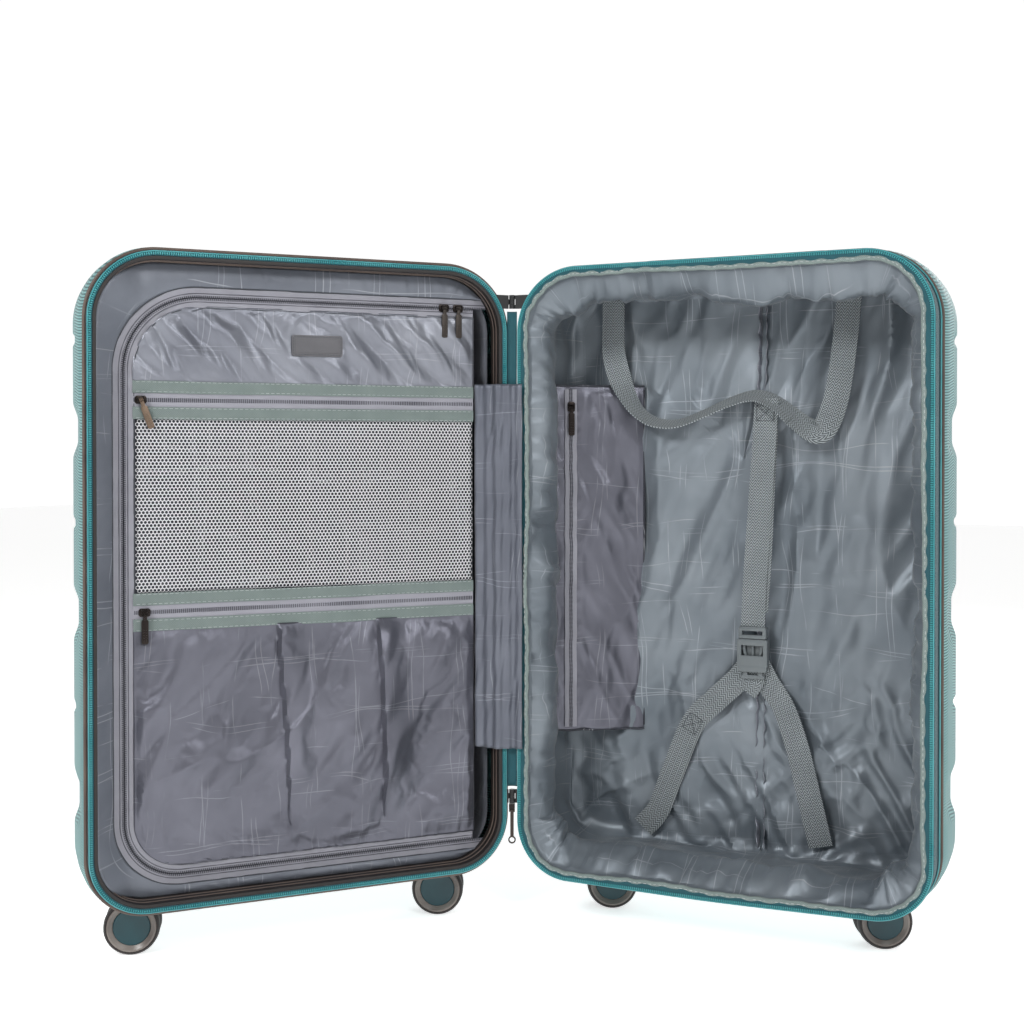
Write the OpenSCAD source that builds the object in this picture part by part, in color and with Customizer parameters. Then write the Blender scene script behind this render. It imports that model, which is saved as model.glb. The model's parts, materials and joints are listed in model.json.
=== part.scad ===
// Hard shell suitcase on four twin-wheel casters, standing upright and open like a book.
// Each half is drawn in its own case frame: u (x) runs from the hinge along the rim, v (y) runs from the
// rim into the shell, and z runs up from the lower edge of the rim. The rear half is square to the row.

/* [Case] */
// Width of each rim, from the hinge side to the far side
rim_w = 425; // [400:1:450]
// Height of each rim
rim_h = 630; // [600:1:660]
// Corner radius of the rim at the top
corner_top = 68; // [60:1:76]
// Corner radius of the rim at the bottom
corner_bottom = 58; // [52:1:70]
// Opening angle between the two halves
lid_angle = 132; // [110:1:140]
// Distance from the hinge axis to the edge of a rim
hinge_gap = 3.5; // [3.2:0.1:4]
// Depth of the front half, from its rim plane to its face
front_depth = 110; // [104:1:116]
// Depth of the rear half, from its rim plane to its face
rear_depth = 146; // [142:1:150]
// Width of the expander gusset between the rear zip and the rear shell
gusset_depth = 36; // [34:1:38]
// Wall of the shells
wall = 2.5; // [2.3:0.1:2.8]

/* [Shell shape] */
// How far the far side stands out past the rim
bulge_far = 4; // [3:1:8]
// How far the hinge side stands out past the rim
bulge_hinge = 2.8; // [2:0.1:3]
// How far the top and the bottom stand out past the rim
bulge_end = 4; // [3:1:5]
// Radius of the edges round the face of a shell
face_r = 38; // [34:1:42]
// Height of the lowest wide groove
groove_z = 105; // [100:1:120]
// Distance between wide grooves
groove_pitch = 177; // [170:1:180]

/* [Casters] */
// Radius of the wheels
wheel_r = 27; // [26:1:28]
// Height of the axles below the lower edge of the rim
axle_drop = 24; // [24:0.5:26]
// Distance from the swivel axis to the axle
trail = 13; // [10:1:14]
// Width of one wheel
wheel_w = 11; // [9:1:12]

/* [Trolley] */
// Distance between the two tubes
tube_span = 208; // [190:1:220]
// Outside radius of the outer tubes
tube_r = 8.5; // [8:0.1:9]
// Travel of each of the two stages
stage_travel = 205; // [150:5:220]

/* [Divider] */
// Distance from the hinge axis to the far run of the divider zip
divider_far = 391; // [385:1:395]
// Height of the top run of the divider zip
divider_top = 587; // [580:1:590]
// Height of the bottom run of the divider zip
divider_low = 30; // [28:1:34]
// Corner radius of the divider zip at the top
divider_r = 72; // [66:1:78]
// Corner radius of the divider zip at the bottom
divider_r_low = 54; // [48:1:60]
// Depth of the divider behind the front rim
divider_v = 24; // [22:1:26]

/* [Straps] */
// Width of the webbing
web_w = 25; // [22:1:28]
// Thickness of the webbing
web_t = 1.5; // [1.2:0.1:1.8]

/* [Hidden] */
$fn = 64;
far = hinge_gap + rim_w;
mid_u = hinge_gap + rim_w / 2;
floor_z = axle_drop + wheel_r;
zip_v = 0.4;          // front of the zip tapes, behind the rim plane
zip_t = 4.6;          // thickness of the zip tapes
front_edge = 8;       // where the front shell begins
rear_edge = gusset_depth + 2.8;
lining_in = 14;       // inset of the lining walls from the rim
lining_t = 1.4;
lining_back = 118;    // front of the rear lining's back wall
flap_u = 33.75;       // hinge line of the divider flap
flap_bead = 0.9;      // radius of the cord sewn in along the hinge line
slot_gap = 0.3;       // clearance between pieces of different bodies
running = 0.05;       // radial clearance of shafts and sliding tubes
side_tilt = 32;       // slant of the side pocket across the corner
cut_over = 5;         // how far a cut runs past the shell

// The open case's box in the rear half's frame gives the origin of the row.
lid_dir = [cos(lid_angle), -sin(lid_angle)];
lid_in = [-sin(lid_angle), -cos(lid_angle)];
function lid_xy(u, v) = u * lid_dir + v * lid_in;
x_high = far + bulge_far;
x_low = lid_xy(x_high - face_r, front_depth - face_r)[0] - face_r;
y_high = rear_depth;
y_low = lid_xy(far - 3, zip_v)[1];
origin = [(x_high + x_low) / 2, (y_high + y_low) / 2, -floor_z];

// Casters: [u, v, side of the trail along the swivel's own x axis, turn of the swivel at rest, on the lid]
casters = [
    [76, 56, 1, 25, true],
    [366, 56, -1, 34, true],
    [68, 78, 1, 25, false],
    [354, 78, 1, 25, false]
];
mount_r = 38;
crown_r = 19;
stem_r = 5;
axle_r = 2.5;
web_half = 3.5;       // half the width of the fork's leg, between the wheels

// Slider places: [u, v, z] on the tape, facing out of the half
divider_slider_a_at = [52, divider_v - 0.3, divider_top];
divider_slider_b_at = [67.5, divider_v - 0.3, divider_top];
mesh_slider_at = [375, divider_v - 1.8, 487.5];
lower_slider_at = [372, divider_v - 1.8, 284.5];
side_slider_t = 19;   // distance of the side pocket's zip from the pocket's hinge edge
side_at = [20.5, 62];
side_slider_z = 486;
pin_n = 4.2;          // height of a pull's pin over the tape
pull_pin_r = 0.8;
mesh_lean = 20;       // the mesh pocket's pull hangs askew

// Centre lines of the webbing, as [u, z] in the plane of the rear lining
loop_left = [[76, 602], [74, 548], [84, 514]];
loop_sag = [
    [90, 514], [100, 476], [118, 464], [152, 464], [196, 486], [236, 496], [262, 480], [284, 460]
];
loop_right = [[304, 464], [320, 512], [327, 555], [328, 602]];
anchor_left = [[225, 206], [189, 176], [161, 146], [141, 94], [122, 46], [106, 30]];
anchor_right = [[238, 206], [259, 177], [275, 132], [288, 78], [300, 30]];
loop_v = 100;
anchor_v = 104;
buckle_u = 231;
strap_lean = 3.2;     // the centre strap leans a little towards its far side

teal = "#5fa39d";
zip_teal = "#1f7f80";
lining_grey = "#7f8590";
tape_green = "#8fa49b";
dark = "#231f1e";
plastic = "#8b9694";

// ---- frames ------------------------------------------------------------------------------------------

module on_rear() { translate(-origin) children(); }

// The front half is drawn like the rear one, mirrored across the closed rim plane and swung open.
module on_lid() { on_rear() rotate([0, 0, -lid_angle]) mirror([0, 1, 0]) children(); }

// A 2D shape in (u, z) becomes a slab from depth v, t thick.
module slab(v, t) { translate([0, v + t, 0]) rotate([90, 0, 0]) linear_extrude(t) children(); }

// ---- outlines ----------------------------------------------------------------------------------------

// Rectangle from [x0, z0] to [x1, z1] with its own radius at the bottom and at the top
module rounded(x0, z0, x1, z1, r_low, r_high) {
    union() {
        translate([x0, z0 + r_low]) square([x1 - x0, z1 - z0 - r_low - r_high]);
        translate([x0 + r_low, z0]) square([x1 - x0 - 2 * r_low, r_low + 1]);
        translate([x0 + r_high, z1 - r_high - 1]) square([x1 - x0 - 2 * r_high, r_high + 1]);
        for (x = [x0 + r_low, x1 - r_low]) translate([x, z0 + r_low]) circle(r_low);
        for (x = [x0 + r_high, x1 - r_high]) translate([x, z1 - r_high]) circle(r_high);
    }
}

module rim(inset) {
    rounded(hinge_gap + inset, inset, far - inset, rim_h - inset, corner_bottom - inset, corner_top - inset);
}

module rim_ring(outer, inner, v, t) {
    slab(v, t) difference() {
        rim(outer);
        rim(inner);
    }
}

// Inside of the divider zip, which is open towards the hinge
module zone(inset) {
    rounded(-200, divider_low + inset, divider_far - inset, divider_top - inset, divider_r_low - inset,
        divider_r - inset);
}

// ---- shells ------------------------------------------------------------------------------------------

// Outline of a shell seen along one edge: a flare from the rim, then a straight side and a rounded face
module shell_profile(low, high, flare_low, flare_high, v0, v1, r) {
    flare = 14;
    union() {
        polygon([[low + flare_low, v0], [high - flare_high, v0], [high, v0 + flare], [low, v0 + flare]]);
        translate([low, v0 + flare]) square([high - low, v1 - r - v0 - flare]);
        translate([low + r, v1 - r - 1]) square([high - low - 2 * r, r + 1]);
        for (x = [low + r, high - r]) translate([x, v1 - r]) circle(r);
    }
}

module shell_block(v0, v1, inset) {
    low_u = hinge_gap - bulge_hinge + inset;
    high_u = far + bulge_far - inset;
    low_z = -bulge_end + inset;
    high_z = rim_h + bulge_end - inset;
    intersection() {
        slab(v0, v1 - v0) rounded(low_u, low_z, high_u, high_z, corner_bottom + bulge_end - inset,
            corner_top + bulge_end - inset);
        translate([0, 0, low_z]) linear_extrude(high_z - low_z)
            shell_profile(low_u, high_u, bulge_hinge, bulge_far, v0, v1, face_r - inset);
        translate([low_u, 0, 0]) rotate([90, 0, 90]) linear_extrude(high_u - low_u)
            rotate([0, 0, 90]) mirror([0, 1]) shell_profile(low_z, high_z, bulge_end, bulge_end, v0, v1,
                face_r - inset);
    }
}

module shell(v0, v1, well) {
    groove_deep = 1.2;
    groove_w = 58;
    difference() {
        shell_block(v0, v1, 0);
        translate([0, -0.01, 0]) shell_block(v0, v1 - wall, wall);
        difference() {
            for (k = [0:2]) translate([-50, v0 + 20, groove_z + k * groove_pitch - groove_w / 2])
                cube([rim_w + 120, v1 - v0, groove_w]);
            shell_block(v0, v1 - groove_deep, groove_deep);
        }
        for (c = well) translate([c[0], c[1], 0]) {
            translate([0, 0, -20]) cylinder(h = 28, r = mount_r);
            cylinder(h = 13.6, r = 24);
        }
    }
}

module rear_shell() {
    color(teal) on_rear() difference() {
        shell(rear_edge, rear_depth, [for (c = casters) if (!c[4]) c]);
        housing_box(cut_over);
        for (side = [-1, 1]) sleeve_box(side, cut_over);
    }
}

module front_shell() {
    color(teal) on_lid() shell(front_edge, front_depth, [for (c = casters) if (c[4]) c]);
}

module rear_piping() { color("#6b5a52") on_rear() rim_ring(-1.2, 2.2, gusset_depth, 2.8); }

module front_piping() { color("#6b5a52") on_lid() rim_ring(-1.2, 2.2, front_edge - 2.7, 2.7); }

// ---- rim fabric --------------------------------------------------------------------------------------

module expander_gusset() { color(zip_teal) on_rear() rim_ring(2.8, 4.4, 6, gusset_depth - 6.2); }

module expander_zip() { color("#14595b") on_rear() rim_ring(0.6, 2.7, gusset_depth - 10.5, 6); }

module rear_zip() { color(zip_teal) on_rear() rim_ring(3, 8, zip_v, zip_t); }

module rear_binding() { color(tape_green) on_rear() rim_ring(8.2, 13.4, zip_v, 5); }

module front_zip() { color(zip_teal) on_lid() rim_ring(3, 10, zip_v, zip_t); }

module inner_rim() { color(dark) on_lid() rim_ring(10.2, 12, zip_v, divider_v - 1); }

// Open box of lining: four walls and a back
module lining_tray(v0, back) {
    union() {
        rim_ring(lining_in, lining_in + lining_t, v0, back - v0 + lining_t);
        slab(back, lining_t) rim(lining_in);
    }
}

// The wall of the lining starts behind the rim as it lies with the expansion zip closed.
module rear_lining() { color(lining_grey) on_rear() lining_tray(21, lining_back); }

module front_lining() {
    border_t = 1.2;
    color(lining_grey) on_lid() union() {
        lining_tray(divider_v + border_t, front_depth - 14);
        slab(divider_v, border_t) union() {
            difference() {
                rim(8.2);
                zone(-10.2);
            }
            intersection() {
                rim(8.2);
                zone(0.7);
                square([flap_u - flap_bead - slot_gap, rim_h]);
            }
        }
    }
}

module divider_track() {
    color("#8a8a92") on_lid() slab(divider_v, 1.2) difference() {
        intersection() {
            rim(8.2);
            zone(-10);
        }
        zone(0.5);
    }
}

// ---- pockets -----------------------------------------------------------------------------------------

// The divider and all that is sewn on it stop short of the flap's hinge line.
module flap_shape(inset, z_low, z_high, gap) {
    intersection() {
        zone(inset);
        translate([flap_u + gap, z_low]) square([rim_w, z_high - z_low]);
    }
}

module divider_panel() {
    color(lining_grey) on_lid() union() {
        slab(divider_v, 2) flap_shape(1.2, 0, rim_h, 0.25);
        translate([flap_u, divider_v, divider_low + 10])
            cylinder(r = flap_bead, h = divider_top - divider_low - 20);
    }
}

// Two zips, each between two strips of tape
module pocket_zip_bands() {
    color(tape_green) on_lid() for (z = [487.5, 284.5]) {
        for (low = [z - 18.5, z + 6.7]) slab(divider_v - 1.2, 1.2) flap_shape(9, low, low + 11.8, 3.5);
        slab(divider_v - 1.5, 1.5) flap_shape(9, z - 6.5, z + 6.5, 3.5);
    }
}

module mesh_pocket() { color("#b9bcc0") on_lid() slab(divider_v - 1, 1) flap_shape(9, 303.3, 468.8, 3.5); }

module lower_pocket() { color(lining_grey) on_lid() slab(divider_v - 2, 2) flap_shape(14, 0, 265.8, 3.5); }

module label_patch() {
    color("#4a4c50") on_lid() slab(divider_v - 1.4, 1.4) translate([178, 533]) square([52, 21]);
}

module at_side_pocket() {
    on_rear() translate([side_at[0], side_at[1], 0]) rotate([0, 0, side_tilt]) children();
}

module side_pocket() {
    color(lining_grey) at_side_pocket() {
        translate([0, 0, 136]) cube([100, 2, 373]);
        translate([side_slider_t - 6, -1.2, 150]) cube([12, 1.2, 345]);
    }
}

// ---- straps ------------------------------------------------------------------------------------------

function unit(a) = a / norm(a);

// Direction of a list of points from one point to the next; the end points have one neighbour only
function step_dir(points, i) = unit(points[i + 1] - points[i]);
function before_dir(points, i) = step_dir(points, max(i - 1, 0));
function after_dir(points, i) = step_dir(points, min(i, len(points) - 2));

// Edge of a strip to one side of a point, mitred between the two runs that meet there
function edge_at(points, i, reach) =
    let (dir = unit(before_dir(points, i) + after_dir(points, i)))
    points[i] + reach * [-dir[1], dir[0]] / (dir * after_dir(points, i));

// Flat webbing that follows a list of [u, z] points
module webbing(points, width, v) {
    last = len(points) - 1;
    slab(v, web_t) polygon([
        for (i = [0:last]) edge_at(points, i, width / 2),
        for (i = [last:-1:0]) edge_at(points, i, -width / 2)
    ]);
}

module loop_strap() {
    color(plastic) on_rear() {
        webbing(loop_left, web_w, loop_v);
        webbing(loop_sag, 9, loop_v);
        webbing(loop_right, web_w, loop_v);
    }
}

module anchor_straps() {
    color(plastic) on_rear() {
        webbing(anchor_left, web_w, anchor_v);
        webbing(anchor_right, web_w, anchor_v);
    }
}

module centre_strap() {
    color(plastic) on_rear() translate([buckle_u, loop_v - 3.5, 256]) rotate([0, strap_lean, 0])
        translate([-web_w / 2, 0, 0]) cube([web_w, web_t, 238]);
}

buckle_z = 209;
socket_w = 32;
socket_h = 34;
socket_t = 9;
prong_t = 4;

module buckle_socket() {
    color(plastic) on_rear() translate([buckle_u, anchor_v - 11, buckle_z]) difference() {
        translate([-socket_w / 2, 0, 0]) cube([socket_w, socket_t, socket_h]);
        translate([-13, 2.2, 12]) cube([26, prong_t + 0.6, socket_h]);
        for (side = [-1, 1]) translate([side * 15 - 2.5, 2.2, 15]) cube([5, prong_t + 0.6, 11]);
    }
}

module buckle_plug() {
    color(plastic) on_rear() translate([buckle_u, anchor_v - 11, buckle_z + socket_h]) {
        translate([-14, 1, 0.4]) cube([28, 6.6, 10]);
        for (x = [-12, -1.5, 9]) translate([x, 2.5, -20]) cube([3, prong_t, 21]);
    }
}

// ---- trolley and handle ------------------------------------------------------------------------------

housing_low = 588;
housing_top = rim_h + bulge_end;
housing_v = 120.5;
housing_t = 22.3;
housing_half = 126;
well_half = 115;
well_low = 610;
tube_v = 132;
tube_low = 40;        // lower end of the outer tubes

module housing_box(over = 0) {
    translate([mid_u - housing_half, housing_v, housing_low])
        cube([2 * housing_half, housing_t, housing_top - housing_low + over]);
}

module at_tubes() {
    on_rear() for (side = [-1, 1]) translate([mid_u + side * tube_span / 2, tube_v, 0]) children();
}

module tube(low, high, outer, inner) {
    translate([0, 0, low]) difference() {
        cylinder(h = high - low, r = outer);
        translate([0, 0, -1]) cylinder(h = high - low + 2, r = inner);
    }
}

module trolley_housing() {
    color(dark) difference() {
        on_rear() difference() {
            housing_box();
            translate([mid_u - well_half, housing_v + 1.8, well_low])
                cube([2 * well_half, housing_t - 3.6, 40]);
        }
        at_tubes() {
            translate([0, 0, housing_low - 1]) cylinder(h = 18, r = tube_r);
            translate([0, 0, housing_low]) cylinder(h = 30, r = tube_r - 1 + running);
        }
    }
}

module outer_tubes() {
    color("#9a9da0") at_tubes() tube(tube_low, housing_low + 17, tube_r, tube_r - 1 + running);
}

module mid_tubes() {
    color("#a9acb0") at_tubes() tube(120, well_low - 0.5, tube_r - 1, tube_r - 2 + running);
}

module inner_tubes() { color("#b8babd") at_tubes() tube(128, well_low + 10, tube_r - 2, tube_r - 3); }

module trolley_foot() {
    color(dark) difference() {
        on_rear() translate([mid_u - tube_span / 2 - 14, housing_v + 1, tube_low - 6])
            cube([tube_span + 28, 21.3, 22]);
        at_tubes() translate([0, 0, tube_low]) cylinder(h = 20, r = tube_r);
    }
}

grip_half = 114;
grip_v = housing_v + 2.3;
grip_t = housing_t - 4.6;
button_half = 19;

module grip() {
    color(dark) difference() {
        on_rear() translate([0, grip_v, 0]) difference() {
            translate([mid_u - grip_half, 0, well_low + 0.4])
                cube([2 * grip_half, grip_t, housing_top - well_low - 0.4]);
            translate([mid_u - button_half - slot_gap, 3.5, housing_top - 8])
                cube([2 * (button_half + slot_gap), grip_t - 7, 20]);
        }
        at_tubes() cylinder(h = well_low + 10, r = tube_r - 2);
    }
}

module grip_button() {
    color("#3a3c3e") on_rear() translate([mid_u - button_half, grip_v + 3.5 + slot_gap, housing_top - 4.7])
        cube([2 * button_half, grip_t - 7 - 2 * slot_gap, 5.7]);
}

handle_v = 82;
handle_half = 88;
leg = [18, 7];        // section of the handle's legs
leg_low = 618;
handle_top = rim_h + bulge_end + 5;

module sleeve_box(side, over = 0) {
    translate([mid_u + side * handle_half - 13, handle_v - 8, leg_low - 1])
        cube([26, 16, housing_top - leg_low + 1 + over]);
}

module handle_mounts() {
    color(dark) on_rear() for (side = [-1, 1]) difference() {
        union() {
            sleeve_box(side);
            translate([mid_u + side * handle_half - 17, handle_v - 14, housing_top]) cube([34, 28, 1.5]);
        }
        translate([mid_u + side * handle_half, handle_v, leg_low])
            translate([-leg[0] / 2 - running, -leg[1] / 2 - running, 0])
                cube([leg[0] + 2 * running, leg[1] + 2 * running, 40]);
    }
}

module top_handle() {
    color("#2f7f7c") on_rear() translate([mid_u, handle_v, 0]) {
        translate([-handle_half - 15, -12, housing_top + 1.8])
            cube([2 * handle_half + 30, 24, handle_top - housing_top - 1.8]);
        for (side = [-1, 1]) translate([side * handle_half - leg[0] / 2, -leg[1] / 2, leg_low + 0.3])
            cube([leg[0], leg[1], housing_top - leg_low + 2]);
    }
}

// ---- case hinge --------------------------------------------------------------------------------------

knuckle_r = 3;
pin_r = 1;
knuckle_low = [70, 587];
knuckle_h = 14;

// Leaves of one half: the barrel, and a plate cut to meet the zip tape round the rim's corner
module leaves(low, high, bore) {
    for (z = knuckle_low) difference() {
        union() {
            for (i = [0:len(low) - 1]) translate([0, 0, z + low[i]]) {
                cylinder(h = high[i] - low[i], r = knuckle_r);
                translate([0, 0.9, 0]) cube([4, 2.1, high[i] - low[i]]);
            }
            translate([3.4, 0.9, z]) cube([14, 3.6, knuckle_h]);
        }
        translate([0, 0, z - 1]) cylinder(h = knuckle_h + 2, r = bore);
        slab(-1, 8) rim(3);
    }
}

module hinge_rear() { color(dark) on_rear() leaves([0, 10], [4, 14], pin_r); }

module hinge_front() { color(dark) on_lid() leaves([4.3], [9.7], pin_r + running); }

module hinge_pins() {
    color("#777777") on_rear() for (z = knuckle_low) translate([0, 0, z]) cylinder(h = knuckle_h, r = pin_r);
}

module hinge_tape() { color(zip_teal) on_rear() translate([0, 0, 86]) cylinder(h = 499, r = 1.6); }

// Ribbed cover that runs from the divider's hinge edge towards the hinge
module hinge_cover() {
    color("#83888f") on_lid() translate([17, 4, 132]) rotate([0, 0, 52]) cube([21, 1.4, 374]);
}

// ---- casters -----------------------------------------------------------------------------------------

module caster_mounts(on_front) {
    for (c = casters) if (c[4] == on_front) translate([c[0], c[1], 0]) difference() {
        union() {
            translate([0, 0, -1]) cylinder(h = 9, r = mount_r);
            cylinder(h = 13.5, r = 24);
        }
        translate([0, 0, -2]) cylinder(h = 7.5, r = mount_r - 2.5);
        translate([0, 0, -2]) cylinder(h = 10.1, r = crown_r + 1);
        cylinder(h = 20, r = stem_r + running);
    }
}

module rear_caster_mounts() { color("#2f7f7c") on_rear() caster_mounts(false); }

module front_caster_mounts() { color("#2f7f7c") on_lid() caster_mounts(true); }

module at_caster(i) {
    c = casters[i];
    on_rear() translate(c[4] ? lid_xy(c[0], c[1]) : [c[0], c[1]]) rotate([0, 0, c[3]]) children();
}

module fork(i) {
    side = casters[i][2];
    color("#2f7f7c") at_caster(i) {
        translate([0, 0, 4]) cylinder(h = 3.8, r = crown_r);
        translate([0, 0, 4]) cylinder(h = 9.4, r = stem_r);
        slab(-web_half, 2 * web_half) union() {
            polygon([[-14, 5], [14, 5], [side * trail + 6.5, -axle_drop], [side * trail - 6.5, -axle_drop]]);
            translate([side * trail, -axle_drop]) circle(6.5);
        }
        slab(-web_half - wheel_w + 3, 2 * (web_half + wheel_w - 3)) translate([side * trail, -axle_drop])
            circle(axle_r);
    }
}

module wheels(i) {
    color("#1c4f52") at_caster(i) for (v = [-web_half - slot_gap - wheel_w, web_half + slot_gap])
        slab(v, wheel_w) translate([casters[i][2] * trail, -axle_drop]) difference() {
            circle(wheel_r, $fn = 96);
            circle(axle_r + running);
        }
}

// ---- zip sliders -------------------------------------------------------------------------------------

// Slider on a tape: x along the pin, n out of the tape (-y), z up. It is longer along its zip.
module slider(along, across, lean = 0) {
    translate([-along / 2, -2.6, -across / 2]) cube([along, 2.3, across]);
    rotate([0, lean, 0]) {
        for (x = [-3.5, 2.3]) translate([x, -pin_n - 1.6, -2]) cube([1.2, 4, 4]);
        translate([-3.5, -pin_n, 0]) rotate([0, 90, 0]) cylinder(h = 7, r = pull_pin_r);
    }
}

// Pull that hangs from the slider's pin
module pull(length) {
    translate([0, -pin_n, 0]) difference() {
        union() {
            translate([-1.9, 0, 0]) rotate([0, 90, 0]) cylinder(h = 3.8, r = pull_pin_r + 0.7);
            translate([-1.9, -0.8, -6]) cube([3.8, 1.6, 5]);
            translate([-3.3, -0.8, -length]) cube([6.6, 1.6, length - 5]);
        }
        translate([-5, 0, 0]) rotate([0, 90, 0]) cylinder(h = 10, r = pull_pin_r + running);
    }
}

module on_front_tape(at) { on_lid() translate(at) children(); }

module on_side_tape() { at_side_pocket() translate([side_slider_t, -1.2, side_slider_z]) children(); }

module divider_slider_a() { color(dark) on_front_tape(divider_slider_a_at) slider(11, 8); }

module divider_slider_b() { color(dark) on_front_tape(divider_slider_b_at) slider(11, 8); }

module divider_pull_a() { color("#8d7866") on_front_tape(divider_slider_a_at) pull(31); }

module divider_pull_b() { color("#55504c") on_front_tape(divider_slider_b_at) pull(31); }

module mesh_slider() { color(dark) on_front_tape(mesh_slider_at) slider(11, 8, mesh_lean); }

module mesh_pull() { color("#8d7866") on_front_tape(mesh_slider_at) rotate([0, mesh_lean, 0]) pull(29); }

module lower_slider() { color(dark) on_front_tape(lower_slider_at) slider(11, 8); }

module lower_pull() { color(dark) on_front_tape(lower_slider_at) pull(30); }

module side_slider() { color(dark) on_side_tape() slider(8, 11); }

module side_pull() { color(dark) on_side_tape() pull(31); }

// ---- main zip slider ---------------------------------------------------------------------------------

tail_dir = 110;       // the way the tail swings, out behind the hinge
tail_z = 62;

module at_tail() { on_rear() translate([0, 0, tail_z]) rotate([0, 0, tail_dir]) children(); }

module main_slider() {
    color(dark) at_tail() {
        translate([-3, -3, 2]) cube([6, 6, 5]);
        for (y = [-3, 2]) translate([-1.5, y, -1.5]) cube([3, 1, 4]);
        translate([0, -3, 0]) rotate([-90, 0, 0]) cylinder(h = 6, r = 0.9);
    }
}

module main_tail() {
    color("#3a2c26") at_tail() difference() {
        union() {
            translate([0, -1.8, 0]) rotate([-90, 0, 0]) cylinder(h = 3.6, r = 1.8);
            translate([-0.8, -1.8, -28]) cube([1.6, 3.6, 28]);
            translate([-0.8, 0, -31]) rotate([0, 90, 0]) cylinder(h = 1.6, r = 4);
        }
        translate([0, -5, 0]) rotate([-90, 0, 0]) cylinder(h = 10, r = 0.9 + running);
        translate([-2, 0, -31]) rotate([0, 90, 0]) cylinder(h = 4, r = 2.6);
    }
}

// ---- nodes -------------------------------------------------------------------------------------------

rear_shell();
rear_piping();
expander_gusset();
expander_zip();
rear_lining();
side_pocket();
trolley_housing();
outer_tubes();
trolley_foot();
loop_strap();
anchor_straps();
buckle_socket();
handle_mounts();
rear_caster_mounts();
rear_zip();
rear_binding();
hinge_rear();
hinge_pins();
hinge_tape();
main_slider();
main_tail();
mid_tubes();
inner_tubes();
grip();
grip_button();
top_handle();
buckle_plug();
centre_strap();
front_shell();
front_piping();
front_zip();
inner_rim();
front_lining();
divider_track();
hinge_front();
hinge_cover();
front_caster_mounts();
divider_panel();
pocket_zip_bands();
mesh_pocket();
lower_pocket();
label_patch();
fork(0);  // fork_1
wheels(0);  // wheels_1
fork(1);  // fork_2
wheels(1);  // wheels_2
fork(2);  // fork_3
wheels(2);  // wheels_3
fork(3);  // fork_4
wheels(3);  // wheels_4
divider_slider_a();
divider_pull_a();
divider_slider_b();
divider_pull_b();
mesh_slider();
mesh_pull();
lower_slider();
lower_pull();
side_slider();
side_pull();
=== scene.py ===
"""Hard shell suitcase on four twin-wheel casters, open like a book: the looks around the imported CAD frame.

Each half has a case frame in millimetres: u runs from the hinge along the rim, v runs from the rim into the
shell and z runs up from the lower edge of the rim. Arrays of case points become row points in metres at the end.
"""

import json
import math

import bmesh
import bpy
import numpy as np
from mathutils import Euler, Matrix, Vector


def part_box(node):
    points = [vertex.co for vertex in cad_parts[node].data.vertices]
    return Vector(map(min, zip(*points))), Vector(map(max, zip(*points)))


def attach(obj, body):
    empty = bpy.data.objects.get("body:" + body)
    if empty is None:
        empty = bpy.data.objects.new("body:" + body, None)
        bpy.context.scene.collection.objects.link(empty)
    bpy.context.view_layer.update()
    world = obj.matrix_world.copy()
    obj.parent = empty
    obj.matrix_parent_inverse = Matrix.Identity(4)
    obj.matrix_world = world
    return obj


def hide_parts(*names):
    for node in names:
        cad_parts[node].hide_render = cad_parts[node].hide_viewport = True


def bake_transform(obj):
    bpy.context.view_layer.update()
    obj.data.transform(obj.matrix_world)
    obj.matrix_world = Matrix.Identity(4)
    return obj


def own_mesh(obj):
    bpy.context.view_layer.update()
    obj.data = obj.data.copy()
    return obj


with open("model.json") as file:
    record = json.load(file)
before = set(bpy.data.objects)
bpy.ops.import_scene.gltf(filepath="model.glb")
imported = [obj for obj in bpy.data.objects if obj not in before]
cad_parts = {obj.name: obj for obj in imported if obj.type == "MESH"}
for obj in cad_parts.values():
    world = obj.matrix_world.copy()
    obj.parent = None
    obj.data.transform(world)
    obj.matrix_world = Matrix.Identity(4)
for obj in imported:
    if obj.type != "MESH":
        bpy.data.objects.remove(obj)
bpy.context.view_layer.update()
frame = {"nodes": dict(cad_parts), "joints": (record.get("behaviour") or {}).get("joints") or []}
nodes = frame["nodes"]
joints = {j["name"]: j for j in frame["joints"]}

# ---- sizes, in millimetres in the case frame ----

MM = 0.001
MERGE_M, WELD_M = 0.0002, 0.00008  # points closer than this, in metres, become one
SHARP_DEG = 38  # edges that turn more than this stay sharp
ZIP_INSET = 3.0
RIM_W = (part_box("rear_zip")[1].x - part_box("rear_zip")[0].x) / MM + 2 * ZIP_INSET
RIM_H = (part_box("rear_zip")[1].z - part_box("rear_zip")[0].z) / MM + 2 * ZIP_INSET
HINGE = Vector(joints["lid_hinge"]["pos_m"])
FOOT_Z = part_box("rear_zip")[0].z - ZIP_INSET * MM
LID_ANGLE = math.radians(joints["lid_hinge"]["range_deg"][1])
LID_U = np.array([math.cos(LID_ANGLE), -math.sin(LID_ANGLE)])
LID_V = np.array([-math.sin(LID_ANGLE), -math.cos(LID_ANGLE)])

HINGE_GAP = 3.5
FAR = HINGE_GAP + RIM_W
MID_U = HINGE_GAP + RIM_W / 2
CORNER_LOW, CORNER_TOP = 58.0, 68.0
FRONT_EDGE, FRONT_DEPTH = 8.0, 110.0
REAR_EDGE, REAR_DEPTH = 38.8, 146.0
BULGE_FAR, BULGE_HINGE, BULGE_END = 4.0, 2.8, 4.0
FACE_R = 36.0
GROOVES, NOTCHES = [105.0, 282.0, 459.0], [191.0, 369.0, 547.0]  # heights of their middles

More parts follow.
